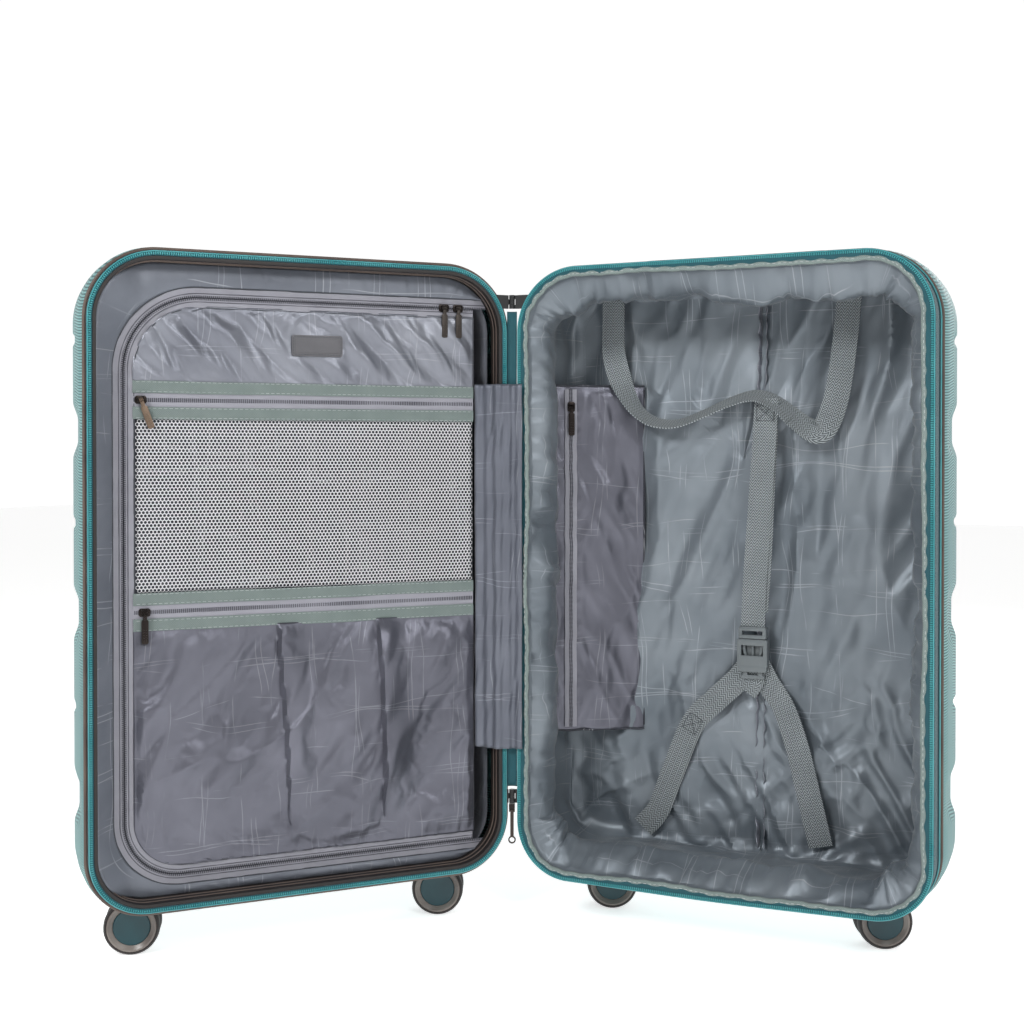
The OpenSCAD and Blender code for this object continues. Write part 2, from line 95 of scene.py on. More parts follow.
DIVIDER_FAR, DIVIDER_TOP, DIVIDER_LOW = 391.0, 587.0, 30.0
DIVIDER_R, DIVIDER_R_LOW = 72.0, 54.0
DIVIDER_V = 24.0
FLAP_U = 34.0
MESH_ZIP_Z, LOWER_ZIP_Z = 487.5, 284.5

LINING_BACK = 118.0
RIM_SAG = 7.0  # how far the soft rear rim hangs at the bottom
SIDE_AT, SIDE_TILT = (20.5, 62.0), math.radians(32)
SIDE_LOW, SIDE_TOP, SIDE_WIDE = 136.0, 509.0, 100.0
SIDE_ZIP = 19.0
PIN_N = 4.2
MESH_LEAN = math.radians(20)
ANCHOR_V = 104.0
BUCKLE_U = 231.0
WEB_W, WEB_T = 25.0, 1.5

WHEEL_R, WHEEL_W, WEB_HALF, SLOT_GAP = 27.0, 11.0, 3.5, 0.3

# Materials by their short names; build fills this in.
looks = {}


# ---- camera, light and floor ----

def make_camera():
    """Eye level, 1.4 m in front of the hinge and 25 degrees round from the rear half's face."""
    turn, reach, height = math.radians(25), 1.427, 0.441
    data = bpy.data.cameras.new("camera")
    data.sensor_width = 36
    data.lens = 48.0
    data.shift_y = -0.0459
    camera = bpy.data.objects.new("camera", data)
    camera.location = (
        HINGE.x + reach * math.sin(turn),
        HINGE.y - reach * math.cos(turn),
        FOOT_Z + height,
    )
    camera.rotation_euler = Euler((math.pi / 2 - 0.012, 0, turn))
    bpy.context.scene.collection.objects.link(camera)
    bpy.context.scene.camera = camera


def area_light(name, place, aim, size, power):
    data = bpy.data.lights.new(name, "AREA")
    data.size = size
    data.energy = power
    lamp = bpy.data.objects.new(name, data)
    lamp.location = place
    lamp.rotation_euler = (Vector(aim) - Vector(place)).to_track_quat("-Z", "Y").to_euler()
    bpy.context.scene.collection.objects.link(lamp)


def make_studio():
    scene = bpy.context.scene
    scene.view_settings.view_transform = "Standard"
    world = bpy.data.worlds.new("studio")
    world.use_nodes = True
    tree = world.node_tree
    sky = add_node(tree, "ShaderNodeTexCoord").outputs["Generated"]
    split = add_node(tree, "ShaderNodeSeparateXYZ", {0: sky})
    fall = add_node(tree, "ShaderNodeMapRange", {"From Min": 0.36, "From Max": 0.62, "To Min": 1.0,
                                                 "To Max": 0.22, "Value": split.outputs["Z"]})
    front = add_node(tree, "ShaderNodeMapRange", {"From Min": -0.75, "From Max": -0.1, "To Min": 0.24,
                                                  "To Max": 1.02, "Value": split.outputs["Y"]})
    both = add_node(tree, "ShaderNodeMath", {0: fall.outputs["Result"], 1: front.outputs["Result"]},
                    operation="MULTIPLY")
    background = tree.nodes["Background"].inputs
    background["Color"].default_value = (1, 1, 1, 1)
    tree.links.new(both.outputs[0], background["Strength"])
    scene.world = world
    centre = (0, 0, 0.35)
    area_light("key", (-0.5, -2.0, 1.75), centre, 0.6, 30)
    area_light("fill", (1.5, -1.1, 1.5), centre, 0.5, 13)
    area_light("back", (0.4, 2.4, 1.6), centre, 1.6, 14)
    floor_mesh = bpy.data.meshes.new("floor")
    size = 8.0
    corners = [(-size, -size, 0), (size, -size, 0), (size, size, 0), (-size, size, 0)]
    floor_mesh.from_pydata(corners, [], [(0, 1, 2, 3)])
    floor = bpy.data.objects.new("floor", floor_mesh)
    scene.collection.objects.link(floor)
    floor_mesh.materials.append(floor_material())


# ---- materials ----

def srgb(code):
    """A linear colour from a hex code."""
    values = [int(code[i : i + 2], 16) / 255 for i in (1, 3, 5)]
    return tuple(c / 12.92 if c <= 0.04045 else ((c + 0.055) / 1.055) ** 2.4 for c in values) + (1,)


def add_node(tree, kind, inputs=None, **settings):
    """A node with its settings, and each input set to a number or linked to another node's output."""
    made = tree.nodes.new(kind)
    for key, value in settings.items():
        setattr(made, key, value)
    for key, value in (inputs or {}).items():
        if isinstance(value, bpy.types.NodeSocket):
            tree.links.new(value, made.inputs[key])
        else:
            made.inputs[key].default_value = value
    return made


class Shade:
    """One material under construction: a Principled shader and short calls that add nodes before it."""

    def __init__(self, name, rough=0.5, **sockets):
        self.material = bpy.data.materials.new(name)
        self.material.use_nodes = True
        self.tree = self.material.node_tree
        self.shader = self.tree.nodes["Principled BSDF"]
        self.shader.inputs["Roughness"].default_value = rough
        for socket, value in sockets.items():
            self.shader.inputs[socket.replace("_", " ")].default_value = value

    def node(self, kind, inputs=None, **settings):
        return add_node(self.tree, kind, inputs, **settings)

    def math(self, operation, a, b=0.0, c=0.0):
        return self.node("ShaderNodeMath", {0: a, 1: b, 2: c}, operation=operation).outputs[0]

    def lay(self):
        """Flat coordinates of the piece in millimetres, as x, y and z sockets."""
        found = self.node("ShaderNodeAttribute", attribute_name="lay")
        split = self.node("ShaderNodeSeparateXYZ", {0: found.outputs["Vector"]})
        return found.outputs["Vector"], split.outputs[0], split.outputs[1], split.outputs[2]

    def wave(self, value, pitch):
        """0 to 1 stripes across value, one each pitch."""
        turned = self.math("MULTIPLY", value, 2 * math.pi / pitch)
        return self.math("MULTIPLY_ADD", self.math("SINE", turned), 0.5, 0.5)

    def noise(self, vector, scale, detail=3.0):
        inputs = {"Vector": vector, "Scale": scale, "Detail": detail}
        return self.node("ShaderNodeTexNoise", inputs).outputs["Fac"]

    def place(self):
        return self.node("ShaderNodeTexCoord").outputs["Object"]

    def mix(self, factor, a, b):
        return self.node("ShaderNodeMix", {0: factor, 6: a, 7: b}, data_type="RGBA").outputs[2]

    def cloudy(self, vector, scale, low, high):
        """A soft blend between two hex colours."""
        return self.mix(self.ramp(self.noise(vector, scale), 0.3, 0.7), srgb(low), srgb(high))

    def ramp(self, value, low, high):
        """value stretched from low..high to 0..1 and clamped."""
        inputs = {"Value": value, "From Min": low, "From Max": high}
        return self.node("ShaderNodeMapRange", inputs).outputs["Result"]

    def colour(self, socket):
        self.tree.links.new(socket, self.shader.inputs["Base Color"])

    def rough(self, socket):
        self.tree.links.new(socket, self.shader.inputs["Roughness"])

    def bump(self, height, depth):
        """Bump of the given depth in millimetres."""
        made = self.node("ShaderNodeBump", {"Height": height, "Strength": 1.0, "Distance": depth * MM})
        self.tree.links.new(made.outputs["Normal"], self.shader.inputs["Normal"])


def floor_material():
    s = Shade("floor", 0.8, Emission_Color=(1, 1, 1, 1), Emission_Strength=0.62)
    cloud = s.noise(s.place(), 1.5)
    s.colour(s.mix(cloud, srgb("#fbfbfa"), srgb("#f6f6f5")))
    return s.material


def shell_material():
    """Moulded teal with a fine slanting hatch that turns at the crease of the side walls."""
    s = Shade("shell_teal", 0.46)
    _, u, v, z = s.lay()
    phase = s.math("MULTIPLY_ADD", u, 0.4, s.math("MULTIPLY_ADD", v, 0.16, z))
    hatch = s.wave(phase, 2.7)
    cloud = s.noise(s.place(), 14.0)
    base = s.mix(s.ramp(cloud, 0.3, 0.7), srgb("#6c9fa0"), srgb("#7cafae"))
    worn = s.mix(s.ramp(s.noise(s.place(), 160.0), 0.62, 0.75), base, srgb("#94bcbb"))
    # The hatch's low stripes take the dark teal: painted shade in the moulded grooves, on top of the bump.
    s.colour(s.mix(s.ramp(hatch, 0.1, 0.7), srgb("#26575b"), worn))
    s.rough(s.math("MULTIPLY_ADD", cloud, 0.12, 0.4))
    s.bump(hatch, 0.35)
    return s.material


def grain_material(name, dark, light, rough=0.5, grain=0.08, scale=900.0, **sockets):
    """Moulded plastic or rubber: fine grain, slight colour cloud and uneven gloss."""
    s = Shade(name, rough, **sockets)
    place = s.place()
    cloud = s.noise(place, 22.0)
    s.colour(s.mix(s.ramp(cloud, 0.3, 0.7), srgb(dark), srgb(light)))
    s.rough(s.math("MULTIPLY_ADD", cloud, 0.16, rough - 0.08))
    s.bump(s.noise(place, scale, 2.0), grain)
    return s.material


def metal_material(name, dark, light, rough=0.3):
    s = Shade(name, rough, Metallic=1.0)
    place = s.place()
    stretched = s.node("ShaderNodeMapping", {"Vector": place, "Scale": (1, 1, 30)}).outputs[0]
    brush = s.noise(stretched, 260.0, 2.0)
    s.colour(s.mix(brush, srgb(dark), srgb(light)))
    s.rough(s.math("MULTIPLY_ADD", brush, 0.2, rough - 0.08))
    s.bump(brush, 0.02)
    return s.material


def weave_material(name, dark, light, pitch, rough=0.62, sheen=0.25, depth=0.25):
    """Plain woven tape or cloth from its own flat coordinates."""
    s = Shade(name, rough, Sheen_Weight=sheen, Sheen_Roughness=0.4)
    vector, along, across, _ = s.lay()
    warp, weft = s.wave(along, pitch), s.wave(across, pitch)
    over = s.math("ABSOLUTE", s.math("SUBTRACT", warp, weft))
    cloud = s.noise(vector, 0.05)
    tone = s.math("MULTIPLY_ADD", cloud, 0.5, s.math("MULTIPLY", over, 0.5))
    s.colour(s.mix(tone, srgb(dark), srgb(light)))
    s.bump(over, depth)
    return s.material


def webbing_material():
    """Herringbone webbing: slanting yarns that turn in each of four ribs."""
    s = Shade("webbing_grey", 0.6, Sheen_Weight=0.2, Sheen_Roughness=0.4)
    vector, along, across, _ = s.lay()
    rib = s.math("PINGPONG", across, WEB_W / 8)
    yarn = s.wave(s.math("ADD", along, s.math("MULTIPLY", rib, 1.4)), 3.1)
    cloud = s.noise(vector, 0.04)
    base = s.mix(cloud, srgb("#8d9598"), srgb("#a9b0b3"))
    s.colour(s.mix(s.ramp(yarn, 0.1, 0.8), srgb("#3f4649"), base))
    s.bump(yarn, 0.5)
    return s.material


def lining_material(name, low, high, rough=0.36, shine=0.42, printed=0.3):
    """Satin lining with faint light strokes, drawn like loose pencil lines, that cross each other."""
    s = Shade(name, rough, Metallic=shine, Sheen_Weight=0.15, Sheen_Roughness=0.4)
    vector, along, across, _ = s.lay()
    bend = s.math("MULTIPLY", s.math("SUBTRACT", s.noise(vector, 0.008, 1.0), 0.5), 34.0)
    line = None
    for value, pitch, shift, sway in (
        (along, 53.0, 0.0, 1.0), (along, 53.0, 5.5, 1.35), (along, 37.0, 15.0, -0.9),
        (across, 61.0, 9.0, 0.8), (across, 61.0, 13.5, 1.2), (across, 43.0, 27.0, -1.1),
    ):
        bent = s.math("MULTIPLY_ADD", bend, sway, s.math("ADD", value, shift))
        stroke = s.ramp(s.math("PINGPONG", bent, pitch / 2), 0.6, 0.2)
        elsewhere = s.node("ShaderNodeVectorMath", {0: vector, 1: (shift, pitch, 0)}).outputs[0]
        stroke = s.math("MULTIPLY", stroke, s.ramp(s.noise(elsewhere, 0.02, 2.0), 0.47, 0.58))
        line = stroke if line is None else s.math("MAXIMUM", line, stroke)
    base = s.cloudy(vector, 0.01, low, high)
    s.colour(s.mix(s.math("MULTIPLY", line, printed), base, srgb("#d6d9de")))
    s.rough(s.math("MULTIPLY_ADD", s.noise(vector, 0.06), 0.1, rough - 0.05))
    warp, weft = s.wave(along, 0.9), s.wave(across, 0.9)
    s.bump(s.math("ABSOLUTE", s.math("SUBTRACT", warp, weft)), 0.04)
    return s.material


def make_materials():
    return {
        "shell": shell_material(),
        "piping": grain_material("piping_brown", "#4e413c", "#67584f", 0.55, 0.1, 500),
        "zip": weave_material("zip_teal", "#0a424c", "#155c66", 1.6),
        "coil": grain_material("zip_coil_teal", "#338a90", "#53a3a7", 0.3, 0.02),
        "gusset": weave_material("gusset_teal", "#0d4049", "#185a62", 1.2),
        "binding": weave_material("binding_green", "#73827f", "#93a19e", 2.0, depth=0.4),
        "lining": lining_material("lining_lid", "#70737d", "#8f929b", 0.34, 0.5, 0.2),
        "lining_deep": lining_material("lining_grey", "#666f77", "#858d94", 0.38, 0.42, 0.26),
        "pocket": lining_material("lining_pocket", "#5c5d67", "#73747f", 0.3, 0.6, 0.16),
        # Near-black lining: painted shade, for the cloth inside the net pocket and the shadow along the side
        # pocket's edges.
        "lining_painted_shade": lining_material("lining_shade", "#2b2d34", "#3b3e46", 0.42),
        "border": lining_material("lining_border", "#666b75", "#7b808a", 0.42, 0.2),
        "track": weave_material("track_grey", "#8d8d97", "#ababb4", 1.4),
        "track_coil": grain_material("coil_grey", "#4c4d55", "#5f6068", 0.35, 0.02),
        "tape": weave_material("tape_green", "#687673", "#8f9c99", 1.7, depth=0.45),
        "net": weave_material("mesh_white", "#dcdce0", "#f2f2f5", 0.8, 0.5),
        "webbing": webbing_material(),
        "buckle": grain_material("buckle_grey", "#5c6366", "#6c7376", 0.3, 0.03),
        "stitch": grain_material("thread_light", "#a9b2b2", "#bfc6c5", 0.7, 0.02),
        "stitch_dark": grain_material("thread_dark", "#3c3f45", "#4a4d54", 0.7, 0.02),
        "band": grain_material("black_band", "#191616", "#26211f", 0.5, 0.06, 700),
        "black": grain_material("black_plastic", "#141516", "#1f2021", 0.42, 0.06),
        "alu": metal_material("tube_alu", "#8e9092", "#b3b5b7", 0.28),
        "steel": metal_material("pin_steel", "#707070", "#949494", 0.3),
        "slider": metal_material("slider_dark", "#2a2625", "#3d3836", 0.3),
        "bronze": metal_material("pull_bronze", "#6d5d50", "#8f7d6d", 0.34),
        "gunmetal": metal_material("pull_dark", "#3a3634", "#55504c", 0.34),
        "label": grain_material("label_leather", "#56565a", "#636266", 0.55, 0.25, 380),
        "tail": weave_material("tail_brown", "#2b201b", "#44342c", 1.2),
        "cover": lining_material("hinge_cover_fabric", "#5f636e", "#747883", 0.36, 0.42, 0.2),
        "caster": grain_material("caster_teal", "#123f45", "#1d555a", 0.42, 0.06),
        "hub": grain_material("wheel_hub_teal", "#12333b", "#1a434a", 0.34, 0.04),
        "ring": grain_material("wheel_ring_grey", "#665d59", "#857c76", 0.3, 0.03),
        "tyre": grain_material("wheel_tyre_dark", "#1c1615", "#2b2322", 0.55, 0.08, 600),
        "handle": grain_material("handle_teal", "#25696a", "#317c7b", 0.48, 0.1, 700),
    }


# ---- mesh helpers ----

def spread(u, v, z):
    """Points from three coordinates, each a number or an array."""
    return np.stack(np.broadcast_arrays(u, v, z), -1)


def to_row(points, half):
    """Case points in millimetres as row points in metres. Without a half they are row points already."""
    points = np.asarray(points, float)
    if half is None:
        return points
    u, v, z = points[..., 0], points[..., 1], points[..., 2]
    if half == "rear":
        z = z - RIM_SAG * fade(z, 110, 20) * fade(v, 37, 22) * (1 - 0.7 * fade(u, 180, 430))
    x, y = (u, v) if half == "rear" else (u * LID_U[0] + v * LID_V[0], u * LID_U[1] + v * LID_V[1])
    return spread(x * MM + HINGE.x, y * MM + HINGE.y, z * MM + FOOT_Z)


def smooth(t):
    t = np.clip(t, 0.0, 1.0)
    return t * t * (3 - 2 * t)


def fade(value, low, high):
    """0 at low, 1 at high, smooth between them. low may be the higher number."""
    return smooth((np.asarray(value, float) - low) / (high - low))


def soft_noise(x, y, seed):
    """Smooth random values from -1 to 1 over the plane."""
    i, j = np.floor(x), np.floor(y)
    fx, fy = smooth(x - i), smooth(y - j)

    def at(a, b):
        h = np.sin(a * 127.1 + b * 311.7 + seed * 74.7) * 43758.5453
        return (h - np.floor(h)) * 2 - 1

    low = at(i, j) * (1 - fx) + at(i + 1, j) * fx
    high = at(i, j + 1) * (1 - fx) + at(i + 1, j + 1) * fx
    return low * (1 - fy) + high * fy


def creases(x, y, angle, long, wide, seed):
    """Ridges that run at an angle in degrees, about long by wide millimetres, from -1 to 1."""
    a = math.radians(angle)
    along, across = x * math.cos(a) + y * math.sin(a), -x * math.sin(a) + y * math.cos(a)
    across = across + 0.35 * wide * soft_noise(along / long * 1.7, across / wide / 3, seed + 5)
    first = soft_noise(along / long, across / wide, seed)
    second = soft_noise(along / long * 1.9, across / wide * 2.1, seed + 9)
    return (1 - 2 * np.abs(first)) * 0.65 + 0.35 * second


def folds(x, y, *kinds):
    """Creases of several kinds, each with its height before its angle, length, width and seed."""
    return sum(high * creases(x, y, *kind) for high, *kind in kinds)


def run_of(points):
    """Distance along a line of points from its first."""
    return np.concatenate(([0], np.cumsum(np.linalg.norm(np.diff(points, axis=0), axis=1))))


def unit(vectors):
    return vectors / np.linalg.norm(vectors, axis=-1)[..., None]


def circle(count):
    return np.linspace(0, 2 * math.pi, count, endpoint=False)


class Parts:
    """Gathers grids, tubes and strips into one mesh in a case frame."""

    def __init__(self):
        self.points, self.faces, self.lay, self.count = [], [], [], 0

    def add(self, points, faces, lay=None):
        points = np.asarray(points, float).reshape(-1, 3)
        self.points.append(points)
        self.lay.append(points if lay is None else np.asarray(lay, float).reshape(-1, 3))
        self.faces += [tuple(int(i) + self.count for i in face) for face in faces]
        self.count += len(points)
        return self

    def take(self, other):
        return self.add(np.concatenate(other.points), other.faces, np.concatenate(other.lay))

    def move(self, change):
        """Passes every point through change."""
        self.points = [change(p) for p in self.points]
        return self

    def grid(self, points, lay=None, wrap_rows=False, wrap_cols=False, capped=False):
        """Faces over rows and columns of points. capped closes both ends of a tube."""
        rows, cols = points.shape[:2]
        i, j = np.indices((rows - (not wrap_rows), cols - (not wrap_cols))).reshape(2, -1)
        k, m = (i + 1) % rows, (j + 1) % cols
        faces = [*np.stack((i * cols + j, k * cols + j, k * cols + m, i * cols + m), 1)]
        if capped:
            index = np.arange(rows * cols).reshape(rows, cols)
            index = index if wrap_cols else index.T
            faces += [index[0], index[-1][::-1]]
        return self.add(points, faces, lay)

    def strip(self, centre, side, normal, width, thick, columns, crown):
        """A flat band along centre, with thickness and closed ends."""
        side, normal = np.broadcast_to(side, centre.shape), np.broadcast_to(normal, centre.shape)
        across = np.linspace(-0.5, 0.5, columns)
        lift = crown * (1 - (2 * across) ** 2)
        front = centre[:, None] + side[:, None] * (across * width)[None, :, None]
        front = front + normal[:, None] * (thick / 2 + lift)[None, :, None]
        back = front - normal[:, None] * thick
        flat = np.concatenate((across, across[::-1])) * width
        ring = np.concatenate((front, back[:, ::-1]), 1)
        return self.grid(ring, spread(run_of(centre)[:, None], flat, 0), wrap_cols=True, capped=True)

    def tube(self, path, radius, sides=8, closed=False):
        path = np.asarray(path, float)
        tangent = unit(np.roll(path, -1, 0) - np.roll(path, 1, 0) if closed else np.gradient(path, axis=0))
        guide = np.array([0.0, 1.0, 0.0])
        if np.abs(tangent @ guide).max() > 0.9:
            guide = np.array([0.31, 0.22, 0.93])
        one = unit(np.cross(tangent, guide))
        two = np.cross(tangent, one)
        turn = circle(sides)
        radius = np.broadcast_to(np.asarray(radius, float), (len(path),))[:, None, None]
        ring = one[:, None] * np.cos(turn)[None, :, None] + two[:, None] * np.sin(turn)[None, :, None]
        return self.grid(path[:, None] + ring * radius, None, closed, True, not closed)

    def stitches(self, line, step, radius, sides):
        """Short tubes along a line, over three of its points each."""
        for place in range(0, len(line) - 2, step):
            self.tube(line[place : place + 3], radius, sides)
        return self

    def lathe(self, profile, steps):
        """Turns a closed profile of (radius, height) round the z axis."""
        radius, height = np.array(profile, float).T
        turn = circle(steps)[:, None]
        return self.grid(spread(np.cos(turn) * radius, np.sin(turn) * radius, height), None, True, True)

    def slab(self, low, high, v0, v1, r, ease=0.8):
        """A plate in the (u, z) plane with round corners and eased edges, from depth v0 to v1."""
        points, normals, _ = rounded_path(low, high, r, r, 96)
        rows = [(ease + 0.6, v0), (ease * 0.3, v0 + ease * 0.3), (0, v0 + ease), (0, v1 - ease),
                (ease * 0.3, v1 - ease * 0.3), (ease + 0.6, v1)]
        return self.grid(rings(points, normals, rows), wrap_rows=True, capped=True)


def edit(mesh, change):
    work = bmesh.new()
    work.from_mesh(mesh)
    change(work)
    work.to_mesh(mesh)
    work.free()


def make_piece(name, parts, half, look, body=None, node=None, closed=True, sharp=SHARP_DEG):
    """A mesh object from parts, riding on a body and standing for a CAD node."""
    mesh = bpy.data.meshes.new(name)
    mesh.from_pydata(to_row(np.concatenate(parts.points), half).tolist(), [], parts.faces)
    lay = mesh.attributes.new("lay", "FLOAT_VECTOR", "POINT")
    lay.data.foreach_set("vector", np.concatenate(parts.lay).astype(np.float32).ravel())
    mesh.polygons.foreach_set("use_smooth", [True] * len(mesh.polygons))
    if closed:
        edit(mesh, lambda work: bmesh.ops.recalc_face_normals(work, faces=work.faces))
    mesh.set_sharp_from_angle(angle=math.radians(sharp))
    mesh.materials.append(looks[look])
    made = bpy.data.objects.new(name, mesh)
    bpy.context.scene.collection.objects.link(made)
    if body:
        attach(made, body)
    if node:
        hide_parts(node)
    return made


def thicken(piece, thick, offset=0.0):
    made = piece.modifiers.new("thickness", "SOLIDIFY")
    made.thickness = thick * MM
    made.offset = offset


def crumple(piece, pinned, growth, inward, stiff, cap):
    """Lets the cloth grow a little between its pinned points, so that it buckles as real cloth does. It moves by
    cap millimetres at most, and against its inward directions by the room behind it."""
    frames, room = 16, 0.5
    mesh = piece.data
    before = np.empty(len(mesh.vertices) * 3)
    mesh.vertices.foreach_get("co", before)
    before = before.reshape(-1, 3)
    group = piece.vertex_groups.new(name="pinned")
    group.add([int(i) for i in np.flatnonzero(pinned)], 1.0, "REPLACE")
    cloth = piece.modifiers.new("cloth", "CLOTH")
    settings = cloth.settings
    settings.vertex_group_mass = "pinned"
    settings.quality = 4
    settings.mass = 0.15
    settings.tension_stiffness = settings.compression_stiffness = 25
    settings.shear_stiffness = 6
    settings.bending_stiffness = stiff
    settings.air_damping = 2
    settings.shrink_min = settings.shrink_max = -growth
    settings.effector_weights.gravity = 0
    cloth.collision_settings.use_collision = False
    cloth.point_cache.frame_start, cloth.point_cache.frame_end = 1, frames
    scene = bpy.context.scene
    for step in range(1, frames + 1):
        scene.frame_set(step)
    grown = piece.evaluated_get(bpy.context.evaluated_depsgraph_get())
    after = np.empty(before.size)
    grown.to_mesh().vertices.foreach_get("co", after)
    grown.to_mesh_clear()
    shift = after.reshape(-1, 3) - before
    far = np.linalg.norm(shift, axis=1)[:, None]
    shift *= np.minimum(1.0, cap * MM / np.maximum(far, 1e-9))
    deep = np.minimum(np.sum(shift * inward, axis=1) + room * MM, 0.0)
    shift -= deep[:, None] * inward
    piece.modifiers.remove(cloth)
    piece.vertex_groups.remove(group)
    mesh.vertices.foreach_set("co", (before + shift).ravel())
    mesh.update()
    scene.frame_set(1)


# ---- outlines ----

def rounded_path(low, high, r_low, r_high, count):
    """Points, outward normals and run lengths round a rectangle with round corners, anticlockwise from the
    middle of its left side. low and high are (u, z)."""
    (u0, z0), (u1, z1) = low, high
    middle, fine = (z0 + z1) / 2, 400
    stretches = [
        ((u0, middle), (u0, z0 + r_low)),
        ((u0 + r_low, z0 + r_low), 2, r_low),
        ((u0 + r_low, z0), (u1 - r_low, z0)),
        ((u1 - r_low, z0 + r_low), 3, r_low),
        ((u1, z0 + r_low), (u1, z1 - r_high)),
        ((u1 - r_high, z1 - r_high), 0, r_high),
        ((u1 - r_high, z1), (u0 + r_high, z1)),
        ((u0 + r_high, z1 - r_high), 1, r_high),
        ((u0, z1 - r_high), (u0, middle)),
    ]
    points, normals = [], []
    t = np.linspace(0, 1, fine, endpoint=False)[:, None]
    for start, end, *radius in stretches:
        start = np.array(start)
        if radius:
            turn = (end + t[:, 0]) * math.pi / 2
            normals.append(np.stack((np.cos(turn), np.sin(turn)), 1))
            points.append(start + normals[-1] * radius[0])
        else:
            way = np.array(end) - start
            points.append(start + way * t)
            normals.append(np.repeat([[way[1], -way[0]]] / np.linalg.norm(way), fine, 0))
    points, normals = np.concatenate(points), np.concatenate(normals)
    run = run_of(np.vstack((points, points[:1])))
    wanted = np.linspace(0, run[-1], count, endpoint=False)
    pick = lambda a: np.stack([np.interp(wanted, run, np.append(a[:, k], a[0, k])) for k in (0, 1)], 1)
    return pick(points), unit(pick(normals)), wanted


def rim_path(count):
    return rounded_path((HINGE_GAP, 0), (FAR, RIM_H), CORNER_LOW, CORNER_TOP, count)


def divider_path(step, inset=0.0):
    """Points and outward normals along the divider zip: from the hinge side at the bottom, out along the
    bottom, up the far side and back along the top."""
    low, high = (-2000, DIVIDER_LOW), (DIVIDER_FAR, DIVIDER_TOP)
    points, normals, _ = rounded_path(low, high, DIVIDER_R_LOW, DIVIDER_R, int(9600 / step))
    keep = points[:, 0] > 14
    return points[keep] - normals[keep] * inset, normals[keep]


def around(points, normals, inset, v):
    """Case points at an inset from an outline and a depth; inset and v may be arrays along the outline."""
    flat = points - normals * np.reshape(inset, (-1, 1))
    return spread(flat[:, 0], v, flat[:, 1])


def rings(points, normals, rows):
    """A grid with one column for each (inset, depth) of rows."""
    return np.stack([around(points, normals, inset, v) for inset, v in rows], 1)


def mouth_sway(run):
    """How far the soft mouth of the deep lining strays inwards along the rim."""
    return 1.1 + 1.5 * soft_noise(run / 88, 0, 15) + 0.6 * soft_noise(run / 31, 0, 16)


def sweep(profile, count=560, wobble=None):
    """Carries a closed profile of (inset, v) round the rim."""
    points, normals, run = rim_path(count)
    sway, lift = wobble(run) if wobble else (0, 0)
    grid = rings(points, normals, [(inset + sway, v + lift) for inset, v in profile])
    return Parts().grid(grid, spread(run[:, None], run_of(np.array(profile)), 0), True, True)


def teeth(parts, path, normals, pitch, reach, wide, high, v):
    """A row of small zip teeth across an outline, standing out of depth v."""
    run = run_of(path)
    faces = [(4, 5, 6, 7), (0, 1, 5, 4), (1, 2, 6, 5), (2, 3, 7, 6), (3, 0, 4, 7), (3, 2, 1, 0)]
    for place in np.arange(pitch / 2, run[-1], pitch):
        centre, out = (np.array([np.interp(place, run, a[:, k]) for k in (0, 1)]) for a in (path, normals))
        out = unit(out)
        along = np.array([-out[1], out[0]])
        low, crown = [], []
        for a, b in ((-1, -1), (1, -1), (1, 1), (-1, 1)):
            foot = centre + along * a * wide / 2 + out * b * reach / 2
            top = centre + along * a * wide / 4 + out * b * reach * 0.36
            low.append((foot[0], v, foot[1]))
            crown.append((top[0], v - high, top[1]))
        parts.add(low + crown, faces)


def to_spine(edge, v, step, rows):
    """Rings of a back wall from its edge to a line up its middle, at heights that both sides share."""
    z = step * np.round(np.clip(edge[:, 2], 203, 427) / step)
    spine = spread(MID_U, v, z)
    return np.stack([edge + (spine - edge) * t for t in np.linspace(0, 1, rows)[1:]], 1)


def join(piece):
    """Merges the points that coincide."""
    edit(piece.data, lambda work: bmesh.ops.remove_doubles(work, verts=work.verts, dist=MERGE_M))


# ---- shells ----

def shell_profile(v0, v1):
    """Side wall and rounded edge of a shell as rows of (share of the bulge, inset, depth)."""
    crease = (v0 + v1 - FACE_R) / 2 + 6
    quarters = (0.25, 0.5, 0.75, 1.0)
    rows = [(0.0, 0.0, v0), (0.3, 0.0, v0 + 4), (0.62, 0.0, v0 + 9), (0.82, 0.0, v0 + 14)]
    rows += [(0.82 + 0.18 * t, 0.0, v0 + 14 + (crease - v0 - 14) * t) for t in quarters]
    rows += [(1 - 0.22 * t, 0.0, crease + (v1 - FACE_R - crease) * t) for t in quarters]
    for turn in np.linspace(0, math.pi / 2, 11)[1:]:
        rows.append((0.78, FACE_R * (1 - math.cos(turn)), v1 - FACE_R + FACE_R * math.sin(turn)))
    return rows, crease


def groove_depth(z, v, v0, crease):
    """How deep the moulded grooves and notches lie at a height and depth."""
    depth = np.zeros_like(z)
    for centre in GROOVES:
        depth += 4.6 * fade(np.abs(z - centre), 28, 10) * fade(v, v0 + 5, crease - 6)
    for centre in NOTCHES:
        depth += 2.6 * fade(np.abs(z - centre), 7, 1) * fade(v, crease - 1, crease + 5)
    return depth


